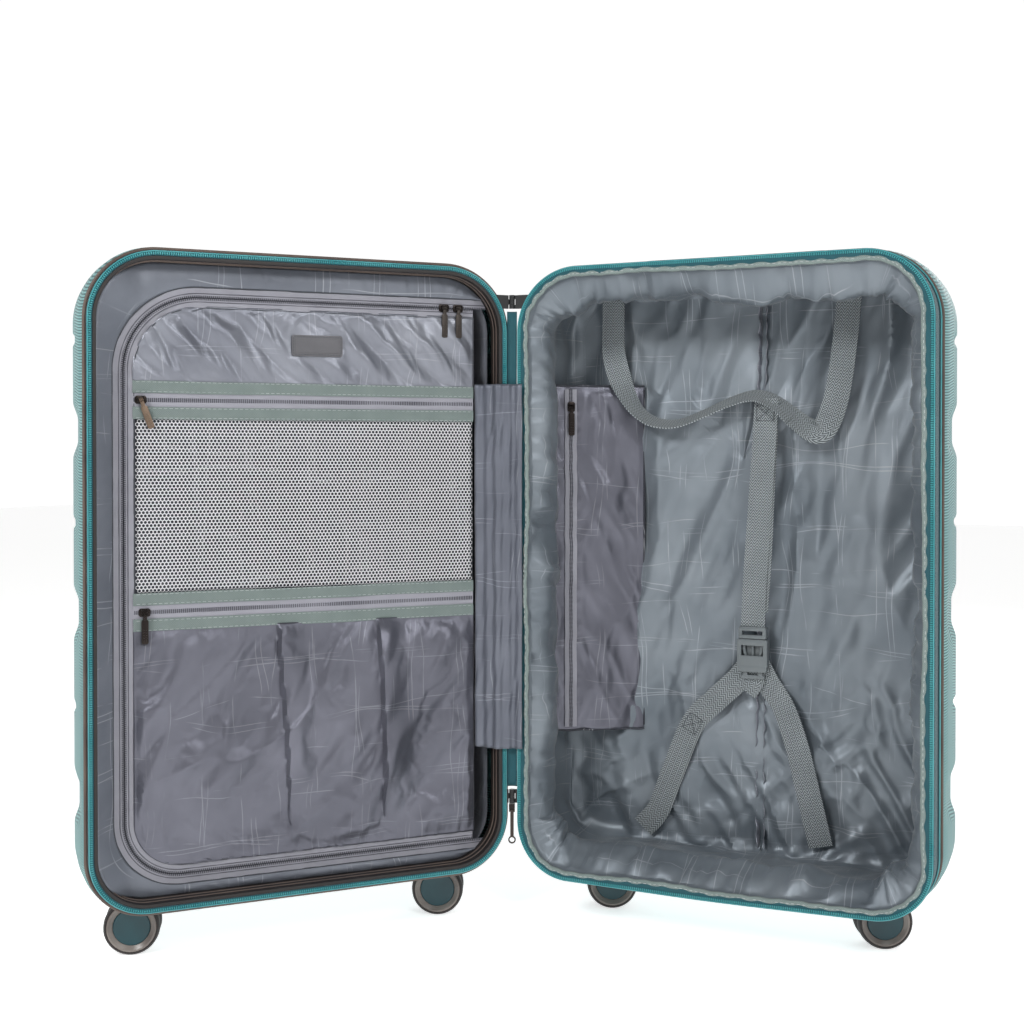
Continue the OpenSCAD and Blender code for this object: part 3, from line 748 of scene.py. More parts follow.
def make_shell(name, half, v0, v1, body, node):
    points, normals, run = rim_path(760)
    side = np.abs(normals[:, 0])
    outer = np.where(normals[:, 0] > 0, BULGE_FAR, BULGE_HINGE)
    bulge = BULGE_END * (1 - side**2) + outer * side**2
    rows, crease = shell_profile(v0, v1)
    grid = rings(points, normals, [(inset - share * bulge, v) for share, inset, v in rows])
    grid = np.concatenate((grid, to_spine(grid[:, -1], v1, 1.5 * run[1], 46)), 1)
    depth = groove_depth(grid[..., 2], grid[..., 1], v0, crease)
    wall = fade(grid[..., 1], v1, v1 - FACE_R)
    out = unit(spread(normals[:, None, 0] * wall, 1 - wall, normals[:, None, 1] * wall))
    level = fade(side, 0.25, 0.8)[:, None] * wall + (1 - wall)
    grid = grid - out * (depth * level)[..., None]
    lay = grid.copy()
    lay[..., 1] = np.abs(grid[..., 1] - crease)
    shell = make_piece(name, Parts().grid(grid, lay, wrap_rows=True), half, "shell", body, node, False)
    join(shell)
    thicken(shell, 2.3, 1.0 if half == "rear" else -1.0)


def make_rims():
    """Piping, zips, gusset, binding and the black inner band."""
    bead = [(0.5 + 1.9 * math.cos(a), 1.4 + 1.5 * math.sin(a)) for a in circle(9)]
    for half, v, body, node in (("rear", 36.0, "rear_half", "rear_piping"),
                                ("lid", FRONT_EDGE - 2.8, "lid", "front_piping")):
        make_piece("piping_" + half, sweep([(i, v + d) for i, d in bead]), half, "piping", body, node)

    pleated = [(2.8, 5.6), (1.9, 9), (2.9, 13), (2.0, 17), (2.9, 21), (2.1, 25), (2.8, 29), (2.4, 36.5)]
    back = [(4.4, 36.5), (4.4, 5.6)]
    gusset = make_piece("gusset", sweep(pleated + back), "rear", "gusset", "rear_half", "expander_gusset")
    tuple(to_row([0, 36.5, 0], "rear"))
    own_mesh(gusset)

    points, normals, run = rim_path(1500)
    loop, out = np.vstack((points, points[:1])), np.vstack((normals, normals[:1]))
    parts = sweep([(1.2, 26), (0.9, 28.5), (1.2, 31), (2.7, 31), (2.7, 26)])
    make_piece("expander_tape", parts, "rear", "zip", "rear_half", "expander_zip")
    coil = Parts()
    for v in (27.4, 29.6):
        coil.tube(around(points, normals, 0.9, v), 0.75, 6, closed=True)
    make_piece("expander_coil", coil, "rear", "coil", "rear_half")

    for half, body, node, inner in (("rear", "rear_rim", "rear_zip", 11.0), ("lid", "lid", "front_zip", 7.2)):
        section = [(2, 0.9), (2.4, 0.5), (inner, 0.5), (inner, 5.0), (2, 5.0)]
        make_piece("zip_tape_" + half, sweep(section), half, "zip", body, node)
        coil = Parts()
        teeth(coil, loop - out * 5.0, out, 2.1, 2.6, 1.5, 1.1, 0.6)
        coil.tube(around(points, normals, 3.0, 0.5), 0.6, 6, closed=True)
        make_piece("zip_coil_" + half, coil, half, "coil", body)

    def pucker(run):
        wave = np.sin(run / 3.1) + 0.5 * soft_noise(run / 9, 0, 3)
        return mouth_sway(run) + 0.25 * wave, 0.45 * wave + 0.5 * soft_noise(run / 24, 0, 4)

    flat_cord = [(10.6 + 2.5 * math.cos(a), 1.5 + 1.9 * math.sin(a)) for a in circle(12)]
    make_piece("binding", sweep(flat_cord, 1400, pucker), "rear", "binding", "rear_rim", "rear_binding")
    seam = Parts().stitches(around(points, normals, 10.2 + mouth_sway(run), -0.55), 4, 0.36, 5)
    make_piece("binding_stitches", seam, "rear", "stitch", "rear_rim")

    band = [(7.2, 1.4), (7.6, 0.8), (9.8, 0.6), (10.6, 0.9), (10.9, 1.8), (10.9, 23.2), (9.4, 23.2), (9.4, 2.6),
            (7.2, 2.6)]
    make_piece("inner_band", sweep(band), "lid", "band", "lid", "inner_rim")
    for v in (8.0, 15.5):
        line = sweep([(10.8, v - 0.8), (11.5, v - 0.5), (11.6, v), (11.5, v + 0.5), (10.8, v + 0.8)])
        make_piece(f"inner_band_rib_{int(v)}", line, "lid", "piping", "lid")


# ---- linings ----

def tray(start, back, count, walls, spine_rows, mouth):
    """Rows of a lining tray: from the mouth inwards, down the walls, round the corner and over the back."""
    corner, curve = 15.0, 16.0
    points, normals, run = rim_path(count)
    rows = [(mouth + (corner - mouth) * smooth(t / 4), start + 6 * t / 4) for t in range(4)]
    rows += [(corner, v) for v in np.linspace(start + 6, back - curve, walls)]
    for turn in np.linspace(0, math.pi / 2, 8)[1:]:
        rows.append((corner + curve * (1 - math.cos(turn)), back - curve + curve * math.sin(turn)))
    grid = rings(points, normals, rows)
    over = to_spine(grid[:, -1], back, 1.5 * run[1], spine_rows)
    sides = spread(run[:, None], run_of(np.array(rows)), 0)
    lay = np.concatenate((sides, spread(over[..., 0], over[..., 2], 0)), 1)
    return np.concatenate((grid, over), 1), lay, normals


def puff_in(grid, normals, back, amount):
    """Moves a tray's walls inwards and its back forwards by amount."""
    flat = fade(grid[..., 1], back - 14, back)
    out = spread(-normals[:, None, 0] * (1 - flat), -flat, -normals[:, None, 1] * (1 - flat))
    return grid + out * amount[..., None]


def rear_wrinkles(grid, run, normals):
    """Folds of the deep lining: it hangs over the rim in a soft roll, gathers behind the binding, and falls in
    long folds down the back that crumple near the bottom."""
    u, v, z = grid[..., 0], grid[..., 1], grid[..., 2]
    run = run[:, None]
    across, up = normals[:, None, 0], normals[:, None, 1]
    sides = ((21, up), (15, -up), (9, across), (12, -across))
    roll = sum(high * np.clip(way, 0, 1) for high, way in sides)
    roll = roll * (1 + 0.35 * soft_noise(run / 70, 0, 7) + 0.12 * soft_noise(run / 21, 0, 8))
    amount = roll * fade(v, 4, 25) * fade(v, 72, 36)
    amount += creases(run, v, 80, 60, 10, 1) * fade(v, 58, 12) * 3.2
    amount += creases(run, v, 68, 50, 19, 11) * fade(v, 80, 30) * 3.4
    amount += creases(run, v, 30, 80, 26, 2) * fade(v, 20, 50) * fade(v, 116, 92) * 5.0
    back = fade(v, LINING_BACK - 18, LINING_BACK)
    drape = folds(u, z, (7.5, 86, 190, 38, 3), (4.6, 62, 120, 30, 4))
    low = fade(z, 250, 90)
    crumpled = folds(u, z, (5.0, 118, 80, 20, 6), (4.0, 35, 70, 24, 14))
    amount += back * (drape * (1 - 0.4 * low) + crumpled * low + 2.0)
    return amount * fade(v, 6, 13)


def make_rear_lining():
    grid, lay, normals = tray(3.0, LINING_BACK, 520, 26, 64, 12.0)
    run = lay[:, 0, 0]
    grid = puff_in(grid, normals, LINING_BACK, rear_wrinkles(grid, run, normals))
    grid[:, :3] -= spread(normals[:, 0], 0, normals[:, 1])[:, None] * mouth_sway(run)[:, None, None]
    parts = Parts().grid(grid, lay, wrap_rows=True)
    lining = make_piece("lining_rear", parts, "rear", "lining_deep", closed=False)
    join(lining)
    place = np.array([tuple(p.co) for p in lining.data.vertices])
    inward = np.array([tuple(p.normal) for p in lining.data.vertices])
    middle = to_row([MID_U, 40, RIM_H / 2], "rear")
    inward *= np.sign(np.sum(inward * (middle - place), axis=1))[:, None]
    mouth = (place[:, 1] - HINGE.y) / MM < 7.5
    crumple(lining, mouth, 0.018, inward, 2.5, 5.0)
    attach(lining, "rear_half")
    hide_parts("rear_lining")


def make_front_lining():
    grid, lay, normals = tray(DIVIDER_V + 1, 95.0, 360, 16, 30, 14.4)
    v = grid[..., 1]
    amount = creases(lay[:, :1, 0], v, 30, 70, 20, 12) * 2.2
    amount = amount + creases(grid[..., 0], grid[..., 2], 70, 120, 30, 13) * 3.0 * fade(v, 80, 95)
    grid = puff_in(grid, normals, 95.0, (amount + 2.5) * fade(v, 27, 36))
    parts = Parts().grid(grid, lay, wrap_rows=True)
    lining = make_piece("lining_front", parts, "lid", "lining", "lid", "front_lining", False)
    join(lining)


def make_border():
    """Cloth between the black band and the divider's zip."""
    inner, _ = divider_path(3.0, -10.0)
    rows, run = np.linspace(0, 1, 420), np.linspace(0, 1, len(inner))
    inner = np.stack([np.interp(rows, run, inner[:, k]) for k in (0, 1)], 1)
    points, normals, _ = rim_path(2400)
    outline = points - normals * 10.7
    near = [np.argmin(np.sum((outline - p) ** 2, 1)) for p in inner]
    outer = outline[near]
    far = fade(normals[near, 0], 0.25, 0.85)[:, None]
    across = np.linspace(0, 1, 12)
    flat = outer[:, None] + (inner - outer)[:, None] * across[None, :, None]
    length = run_of(inner)[:, None]
    wave = creases(length, across * 20, 75, 40, 11, 21)
    v = DIVIDER_V - 0.4 - np.sin(across * math.pi) * (1.6 + 1.3 * wave) - 19.5 * far * (1 - across) ** 1.3
    parts = Parts().grid(spread(flat[..., 0], v, flat[..., 1]), spread(length, across * 20, 0))
    thicken(make_piece("lining_border", parts, "lid", "border", "lid", closed=False), 0.8)


def divider_corner(z, inset):
    """How far out the divider reaches at a height."""
    above = np.maximum(z - (DIVIDER_TOP - DIVIDER_R), 0)
    below = np.maximum(DIVIDER_LOW + DIVIDER_R_LOW - z, 0)
    cut = [r - np.sqrt(np.maximum(r * r - rise * rise, 0))
           for r, rise in ((DIVIDER_R - inset, above), (DIVIDER_R_LOW - inset, below))]
    return DIVIDER_FAR - inset - np.maximum(*cut)


def panel_grid(z_low, z_high, rows, cols):
    """A grid over the divider between two heights, out to its rounded far edge."""
    z = np.linspace(z_low, z_high, rows)[:, None]
    u = FLAP_U + (divider_corner(z, 8.5) - FLAP_U) * np.linspace(0, 1, cols)
    return u, np.broadcast_to(z, u.shape)


def cloth_panel(name, u, v, z, look, node=None, growth=0.0, stiff=0.0, cap=0.0):
    """A sheet of cloth over a grid; it crumples between its pinned edges where growth is given."""
    made = make_piece(name, Parts().grid(spread(u, v, z), spread(u, z, 0)), "lid", look, closed=False)
    if growth:
        pins = np.ones(u.shape, bool)
        pins[2:-2, 2:-2] = False
        inward = np.tile(-np.append(LID_V, 0.0), (u.size, 1))
        crumple(made, pins.ravel(), growth, inward, stiff, cap)
    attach(made, "divider")
    if node:
        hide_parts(node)
    thicken(made, 0.5)
    return made


def flat_tape(parts, right, z0, z1, v, thick, seed, columns):
    """A strip of tape across the divider, a little wavy, with thickness."""
    u = np.linspace(FLAP_U + 1, right, 90)
    middle = (z0 + z1) / 2 + 0.5 * soft_noise(u / 60, 0, seed + 1)
    centre = spread(u, v + 0.25 * soft_noise(u / 34, 0, seed), middle)
    parts.strip(centre, (0, 0, 1), (0, -1, 0), z1 - z0, thick, columns, 0.3)


def make_divider_track(name, body, way, start, node):
    """One side of the divider's zip: way is 1 outside it and -1 on the divider."""
    path, normals = divider_path(2.0)
    keep = path[:, 0] > start
    base, out = path[keep], normals[keep]
    columns = np.linspace(*sorted((0.7 * way, 10.0 * way)), 7)
    run = np.arange(len(base)) * 2.0
    wave = 0.35 * soft_noise(run / 17, 0, 31)
    rows = [(-c, DIVIDER_V - 1.0 + wave * abs(c) / 8) for c in columns]
    rows += [(-c, DIVIDER_V + 0.6) for c in columns[::-1]]
    lay = spread(run[:, None], np.concatenate((columns, columns[::-1])), 0)
    parts = Parts().grid(rings(base, out, rows), lay, wrap_cols=True)
    make_piece(name, parts, "lid", "track", body, node)
    coil = Parts()
    teeth(coil, base + out * 1.2 * way, out, 2.0, 2.2, 1.4, 0.9, DIVIDER_V - 0.9)
    coil.tube(around(base, out, -4.08 * way, DIVIDER_V - 1.0), 0.5, 6)
    make_piece(name + "_coil", coil, "lid", "track_coil", body)
    seam = Parts().tube(around(base, out, -10.0 * way, DIVIDER_V - 0.9), 0.7, 6)
    make_piece(name + "_seam", seam, "lid", "stitch_dark", body)


def make_divider():
    make_divider_track("divider_tape_outer", "lid", 1, 16, "divider_track")
    make_divider_track("divider_tape_inner", "divider", -1, FLAP_U + 0.5, None)

    u, z = panel_grid(504, 579, 44, 150)
    flat = np.sin(math.pi * (z - 504) / 75) * fade(u, FLAP_U, FLAP_U + 14)
    calm = 1 - 0.85 * fade(np.abs(u - 203), 42, 26) * fade(np.abs(z - 543.5), 26, 10)
    slant = (z - u) / 1.414 + 5 * soft_noise(u / 55, z / 40, 43)
    waves = (3.0 + 1.2 * soft_noise(u / 70, z / 70, 44)) * np.sin(slant / 4.6)
    waves = waves + 1.6 * creases(u, z, 44, 90, 14, 41) + 1.2 * creases(u, z, 60, 50, 7, 42)
    v = DIVIDER_V - 0.8 - flat * (1.8 + calm * waves)
    top = cloth_panel("divider_top_cloth", u, v, z, "lining", "divider_panel", 0.012, 0.25, 1.5)

    u, z = panel_grid(266, 506, 70, 70)
    v = DIVIDER_V + 1.2 + 0.8 * creases(u, z, 80, 90, 30, 43)
    # The middle cloth behind the net is near-black: painted shade inside the mesh pocket.
    middle = cloth_panel("divider_middle_cloth", u, v, z, "lining_painted_shade")

    make_lower_pocket()
    make_net()
    make_pocket_zips()
    make_label()


def make_lower_pocket():
    """The pleated pocket: its folds fan down from the zip tape, and its hem gathers into the lower seam."""
    u, z = panel_grid(38.5, 268, 120, 190)
    drop = (268 - z) / 230
    pleats = np.zeros_like(u)
    for place, lean, high in ((242, -14, 9.0), (140, -8, 9.5)):
        side = u - (place + lean * drop)
        pleats += high * fade(side, -34, -1) * fade(side, 1.6, 0) * fade(drop, -0.03, 0.07) * fade(drop, 1.02, 0.6)
    slack = folds(u, z, (8.0, 130, 170, 40, 51), (2.2, 112, 110, 20, 52)) * fade(drop, 0.0, 0.12)
    slack = slack * fade(drop, 1.0, 0.9)
    hem = creases(u, z * 0.4, 88, 60, 6, 53) * 1.4 * fade(drop, 0.86, 0.97)
    belly = 2.4 * np.sin(math.pi * np.clip(drop, 0, 1))
    rim = fade(u, FLAP_U, FLAP_U + 10) * fade(divider_corner(z, 8.5) - u, 0, 10)
    v = DIVIDER_V - 1.4 - (pleats + slack + belly + hem) * rim
    pocket = cloth_panel("pocket_lower", u, v, z, "pocket", "lower_pocket", 0.008, 0.35, 1.3)


def make_net():
    """Knitted net: a honeycomb of small holes."""
    pitch, hole = 3.6, 0.74
    rise, reach = pitch * math.sqrt(3) / 2, pitch / math.sqrt(3)
    parts = Parts()
    turn = np.radians(np.arange(6) * 60 + 30)
    ring = np.stack((np.cos(turn), np.sin(turn)), 1)
    low, high = 303.5, 469.0
    faces = [(k, (k + 1) % 6, 6 + (k + 1) % 6, 6 + k) for k in range(6)]
    for row in range(int((high - low) / rise)):
        z = low + rise * (row + 0.5)
        right = float(divider_corner(np.array(z), 9.0)) - pitch / 2
        for col in range(int((right - FLAP_U - 2) / pitch)):
            centre = np.array([FLAP_U + 2 + pitch * (col + 0.5 + 0.5 * (row % 2)), z])
            x, y = np.concatenate((centre + ring * reach, centre + ring * reach * hole)).T
            belly = np.sin(math.pi * (y - low) / (high - low))
            swell = 1.4 * belly + 0.8 * soft_noise(x / 60, y / 50, 61)
            swell = swell + 1.1 * creases(x, y, 48, 90, 17, 62) * belly
            parts.add(spread(x, DIVIDER_V - 0.6 - swell, y), faces)
    net = make_piece("pocket_net", parts, "lid", "net", "divider", "mesh_pocket", False)
    net.modifiers.new("weld", "WELD").merge_threshold = WELD_M
    thicken(net, 0.35)


def make_pocket_zips():
    tapes, coils, bands, stitches = Parts(), Parts(), Parts(), Parts()
    right = DIVIDER_FAR - 8.6
    for z in (MESH_ZIP_Z, LOWER_ZIP_Z):
        flat_tape(tapes, right, z + 6.6, z + 18.4, DIVIDER_V - 1.8, 1.0, z, 6)
        flat_tape(tapes, right, z - 18.4, z - 6.6, DIVIDER_V - 1.8, 1.0, z + 3, 6)
        flat_tape(bands, right, z - 7.6, z + 7.6, DIVIDER_V - 1.0, 0.9, z + 5, 8)
        line = np.stack((np.linspace(FLAP_U + 2, right, 180), np.full(180, z)), 1)
        teeth(coils, line, np.tile([0.0, 1.0], (180, 1)), 1.9, 4.0, 1.3, 0.8, DIVIDER_V - 1.5)
        for height in (z - 8.0, z - 17.2, z + 8.0, z + 17.2):
            for start in np.arange(FLAP_U + 4, right - 4, 5.2):
                stitches.tube(spread(start + np.array([0, 1.6, 3.2]), DIVIDER_V - 2.45, height), 0.25, 4)
    make_piece("pocket_tapes", tapes, "lid", "tape", "divider", "pocket_zip_bands")
    make_piece("pocket_zip_cloth", bands, "lid", "track", "divider")
    make_piece("pocket_coils", coils, "lid", "track_coil", "divider")
    make_piece("pocket_stitches", stitches, "lid", "stitch", "divider")


def make_label():
    """A blank stitched patch."""
    v = DIVIDER_V - 5.0
    parts = Parts().slab((177, 533), (229, 554), v, v + 1.6, 2.2, 0.5)
    parts.slab((180.4, 536.4), (225.6, 550.6), v - 0.45, v + 0.6, 1.8, 0.4)
    make_piece("label", parts, "lid", "label", "divider", "label_patch")
    points, normals, _ = rounded_path((178.7, 534.7), (227.3, 552.3), 1.5, 1.5, 132)
    threads = Parts().stitches(around(points, normals, 0, v - 0.05), 3, 0.22, 4)
    make_piece("label_stitches", threads, "lid", "stitch_dark", "divider")


# ---- straps and buckle ----

def curve_through(points, count):
    """A smooth curve through control points (Catmull-Rom), evenly sampled."""
    points = np.asarray(points, float)
    ends = np.vstack((2 * points[0] - points[1], points, 2 * points[-1] - points[-2]))
    fine = []
    for a, b, c, d in zip(ends, ends[1:], ends[2:], ends[3:]):
        for t in np.linspace(0, 1, 24, endpoint=False):
            fine.append(0.5 * (2 * b + (c - a) * t + (2 * a - 5 * b + 4 * c - d) * t**2
                               + (3 * b - a - 3 * c + d) * t**3))
    fine = np.array(fine + [points[-1]])
    run = run_of(fine[:, :3])
    wanted = np.linspace(0, run[-1], count)
    return np.stack([np.interp(wanted, run, fine[:, k]) for k in range(points.shape[1])], 1)


def ribbon(parts, controls, count):
    """Webbing through controls (u, v, z, twist): twist turns its width about its run, in degrees from flat
    in the plane of the lining."""
    path = curve_through(controls, count)
    centre, twist = path[:, :3], np.radians(path[:, 3:])
    run = unit(np.gradient(centre, axis=0))
    flat = unit(np.cross(run, [0.0, -1.0, 0.0]))
    side = flat * np.cos(twist) + np.cross(flat, run) * np.sin(twist)
    parts.strip(centre, side, np.cross(run, side), WEB_W, WEB_T, 9, 0.12)


def make_straps():
    loop = [
        ([(77, 96, 603, 0), (76, 98, 575, 0), (76, 99, 545, 8), (82, 99, 520, 30), (91, 98, 500, 56),
          (104, 98, 481, 70), (124, 98, 469, 70), (150, 98, 468, 68), (178, 98, 478, 66), (206, 99, 490, 64),
          (232, 100, 496, 62), (254, 100, 488, 60), (272, 99, 473, 54)], 170),
        ([(266, 101, 478, 52), (284, 100, 464, 40), (299, 99, 458, 10), (309, 98, 470, -8), (318, 98, 500, -2),
          (325, 98, 550, 0), (330, 96, 603, 0)], 110),
    ]
    centre = [
        ([(BUCKLE_U, 97.4, 254, 0), (233, 96.6, 300, 1), (237, 96.8, 360, -2), (241, 96.4, 420, 1),
          (244, 96.8, 470, 0), (245, 97.2, 493, 0)], 120),
        ([(234, 98.6, 272, 0), (238, 98.3, 330, 1), (241, 98.5, 400, 0), (244, 99.2, 462, 0)], 90),
    ]
    anchors = [
        ([(226, 101.5, 215, 0), (214, 102, 199, 6), (190, 103.5, 176, 8), (164, 105, 148, 4),
          (143, 106, 98, 0), (125, 107, 52, -4), (107, 108, 30, 0)], 120),
        ([(236, 102.5, 215, 0), (246, 103, 197, -4), (262, 104, 172, -8), (276, 105, 132, -4),
          (288, 106, 82, 0), (300, 107, 32, 0)], 110),
        ([(231, 99.5, 214, 0), (230, 100, 200, 0), (222, 101, 188, 0)], 30),
    ]
    for name, ribbons, body, node in (("strap_loop", loop, "rear_half", "loop_strap"),
                                      ("strap_centre", centre, "plug", "centre_strap"),
                                      ("strap_anchors", anchors, "rear_half", "anchor_straps")):
        parts = Parts()
        for controls, count in ribbons:
            ribbon(parts, controls, count)
        make_piece(name, parts, "rear", "webbing", body, node)

    threads = Parts()  # box stitching where the webbing is sewn down
    corners = np.array([(-9, -8), (9, -8), (9, 8), (-9, 8), (-9, -8), (9, 8), (9, -8), (-9, 8)], float)
    for u, v, z, lean in ((164, 103.2, 148, 60), (244, 95.3, 478, 0)):
        c, s = math.cos(math.radians(lean)), math.sin(math.radians(lean))
        turned = corners @ np.array([[c, s], [-s, c]])
        for p, q in zip(turned[:-1], turned[1:]):
            steps = int(np.linalg.norm(q - p) / 3)
            for k in range(steps):
                ends = [p + (q - p) * (k + t) / steps for t in (0.1, 0.5, 0.9)]
                threads.tube([(u + e[0], v, z + e[1]) for e in ends], 0.3, 4)
    make_piece("strap_stitches", threads, "rear", "stitch_dark", "rear_half")


def make_buckle():
    """Side-release buckle: the socket stays on the anchor straps, the plug goes with the centre strap."""
    v = ANCHOR_V - 11
    socket, plug = Parts(), Parts()
    for low, high, front, back, *rest in (
        ((215.5, 209), (246.5, 216), 0, 9, 3), ((215, 214), (219.5, 243), 0, 9, 2),
        ((242.5, 214), (247, 243), 0, 9, 2), ((217, 213), (245, 226), 0.2, 2.2, 1.5, 0.5),
        ((217, 213), (245, 242.5), 7, 8.8, 1.5, 0.5), ((217.5, 236.5), (244.5, 243), 0.2, 2.2, 1.5, 0.5),
        ((220.5, 203.5), (225.5, 211), 3.2, 6.5, 1.5), ((236.5, 203.5), (241.5, 211), 3.2, 6.5, 1.5),
        ((218.5, 201.5), (243.5, 205.5), 3, 6.8, 1.9),
    ):
        socket.slab(low, high, v + front, v + back, *rest)
    make_piece("buckle_frame", socket, "rear", "buckle", "rear_half", "buckle_socket")
    for low, high, front, back, r in (
        ((216.5, 243.5), (245.5, 247.5), 0.4, 8.4, 1.9), ((216.5, 251.5), (245.5, 256), 0.6, 8, 2),
        ((216.5, 245), (220.5, 254), 0.8, 8, 1.8), ((241.5, 245), (245.5, 254), 0.8, 8, 1.8),
    ):
        plug.slab(low, high, v + front, v + back, r)
    for side in (-1, 1):
        arm = [(BUCKLE_U + side * a, v + 4.2, z) for a, z in ((9, 246), (9.5, 236), (7.5, 226), (1.5, 219))]
        plug.tube(curve_through(arm, 24), 1.7, 8)
    plug.tube([(BUCKLE_U, v + 4.2, z) for z in (246, 232, 221)], 1.3, 8)
    make_piece("buckle_prongs", plug, "rear", "buckle", "plug", "buckle_plug")


# ---- side pocket and centre seam of the rear half ----

def from_side(a, n, z):
    """Case point from a place a along the slanting pocket, n behind its face, at height z."""
    c, s = math.cos(SIDE_TILT), math.sin(SIDE_TILT)
    return spread(SIDE_AT[0] + a * c - n * s, SIDE_AT[1] + a * s + n * c, z)


def make_side_pocket():
    z, a = np.meshgrid(np.linspace(SIDE_LOW, SIDE_TOP, 150), np.linspace(0, SIDE_WIDE, 64), indexing="ij")
    open_at = np.abs(a - SIDE_ZIP)
    slack = folds(z, a, (3.4, 14, 110, 24, 71), (1.6, -24, 60, 14, 72))
    n = 0.4 - slack * fade(open_at, 5, 16) * fade(SIDE_WIDE - a, 0, 10) * fade(SIDE_TOP - z, 0, 12)
    ruffle = creases(z, a, 88, 20, 6.5, 73) * 1.1 * fade(open_at, 14, 5)
    coil, hem = Parts(), Parts()
    cloth = Parts().grid(from_side(a, n + 0.8 * ruffle, z), spread(a, z, 0))
    # The side pocket takes the darker pocket lining: painted shade in the corner by the hinge.
    cloth = make_piece("side_pocket_cloth", cloth, "rear", "pocket", "rear_half", "side_pocket", False)
    thicken(cloth, 0.8)

    z = np.linspace(SIDE_LOW + 4, SIDE_TOP - 4, 160)
    wave = 0.5 * soft_noise(z / 12, 0, 74)
    across, out = (from_side(a, n, 0.0) - from_side(0.0, 0.0, 0.0) for a, n in ((1.0, 0.0), (0.0, -1.0)))
    tape = Parts().strip(from_side(SIDE_ZIP + wave, -1.3, z), across, out, 13, 0.9, 7, 0.4)
    make_piece("side_zip_cloth", tape, "rear", "track", "rear_half")
    for offset in (-1.0, 1.0):
        coil.tube(from_side(SIDE_ZIP + wave + offset, -2.5, z), 0.55 + 0.25 * (np.arange(160) % 2), 6)
    make_piece("side_zip_coil", coil, "rear", "track_coil", "rear_half")
    # The hems round the pocket's low, top and far edges take the near-black lining: painted shadow along the
    # edges.
    a = np.linspace(0, SIDE_WIDE, 60)
    for edge in (SIDE_LOW, SIDE_TOP):
        hem.tube(from_side(a, -0.4, edge + 0.4 * np.sin(a / 4)), 1.1, 8)
    hem.tube(from_side(SIDE_WIDE, 0, z), 1.0, 8)
    make_piece("side_pocket_hem", hem, "rear", "lining_painted_shade", "rear_half")


def make_centre_seam():
    """The ruffled closing down the middle of the rear lining."""
    parts = Parts()
    z = np.linspace(22, 598, 420)
    sway = 3.0 * soft_noise(z / 110, 0, 83)
    for side, seed in ((-1, 81), (1, 82)):
        ruffle = 1.9 * np.sin(z / 2.9 + seed) + 1.4 * soft_noise(z / 8, 0, seed)
        foot = spread(236 + sway + side * 2.2, LINING_BACK - 1.5, z)
        lip = foot + spread(side * 2.0 + 0.6 * ruffle, -6.2 - 0.7 * ruffle, 0)
        grid = np.stack([foot + (lip - foot) * t for t in np.linspace(0, 1, 5)], 1)
        parts.grid(grid, grid[..., [0, 2, 1]])
    thicken(make_piece("lining_seam", parts, "rear", "lining", "rear_half", closed=False), 0.7)


# ---- hinge ----

def bend_sheet(name, stations, z_low, z_high, ribs, look, node, thick):
    """A strip from the lid's rim to the rear rim through stations (u, v, half)."""
    path = curve_through([to_row([u, v, 0], half)[:2] for u, v, half in stations], 40)
    z = np.linspace(z_low, z_high, 110)[:, None]
    reach = run_of(path)
    normal = np.gradient(path, axis=0)
    normal = unit(np.stack((normal[:, 1], -normal[:, 0]), 1))
    wave = 0.9 * soft_noise(z / 70, 0, 91) + ribs * np.sin(reach / reach[-1] * math.pi * 9)
    if ribs:
        wave = wave + 1.1 * creases(z, reach / MM, 12, 90, 9, 92)
    flat = path + normal * wave[..., None] * MM
    height = z * MM + FOOT_Z
    parts = Parts().grid(spread(flat[..., 0], flat[..., 1], height), spread(reach / MM, height / MM, 0))
    made = make_piece(name, parts, None, look, closed=False, sharp=180)
    start, end = to_row([6, 0, 300], "rear"), to_row([6, 0, 300], "lid")
    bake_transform(made)
    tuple(start)
    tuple(end)
    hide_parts(node)
    thicken(made, thick)


def make_hinge_cloth():
    """The ribbed cover inside the fold and the teal tape behind it."""
    cover = [(33, 21.5, "lid"), (24, 11, "lid"), (16.5, -1.2, "lid"), (9, -3, "lid"), (2.5, -3.5, "lid"),
             (4, -3.5, "rear"), (8, -3.2, "rear"), (13, -2.6, "rear")]
    bend_sheet("hinge_cover_cloth", cover, 128, 508, 1.0, "cover", "hinge_cover", 0.7)
    tape = [(4.5, 2.5, "lid"), (1.5, 2.6, "lid"), (1.5, 2.6, "rear"), (4.5, 2.5, "rear")]
    bend_sheet("hinge_strip", tape, 87, 584, 0.0, "zip", "hinge_tape", 0.6)


# ---- sliders and pulls ----

def tilt(parts, lean):
    c, s = math.cos(lean), math.sin(lean)
    turn = np.array([[c, 0, s], [0, 1, 0], [-s, 0, c]])
    return parts.move(lambda p: p @ turn.T)


def slider_shape(along, across, lean):
    """A slider in its own frame: x along its pin, y into the tape, z up."""
    a, b = along / 2, across / 2
    bridge = Parts()
    parts = Parts().slab((-a, -b), (a, b), -2.6, -0.3, 2.4, 0.7)
    parts.slab((1 - a, 1.2 - b), (a - 1, b - 1.2), -3.3, -2.5, 2, 0.4)
    for x in (-2.9, 2.9):
        arch = [(x, -2.4, -2.4), (x, -4.8, -1.9), (x, -5.6, 0), (x, -4.8, 1.9), (x, -2.4, 2.4)]
        bridge.tube(curve_through(arch, 24), 0.75, 8)
    bridge.tube([(x, -PIN_N, 0) for x in (-3.6, 0, 3.6)], 0.95, 10)
    return parts.take(tilt(bridge, lean))


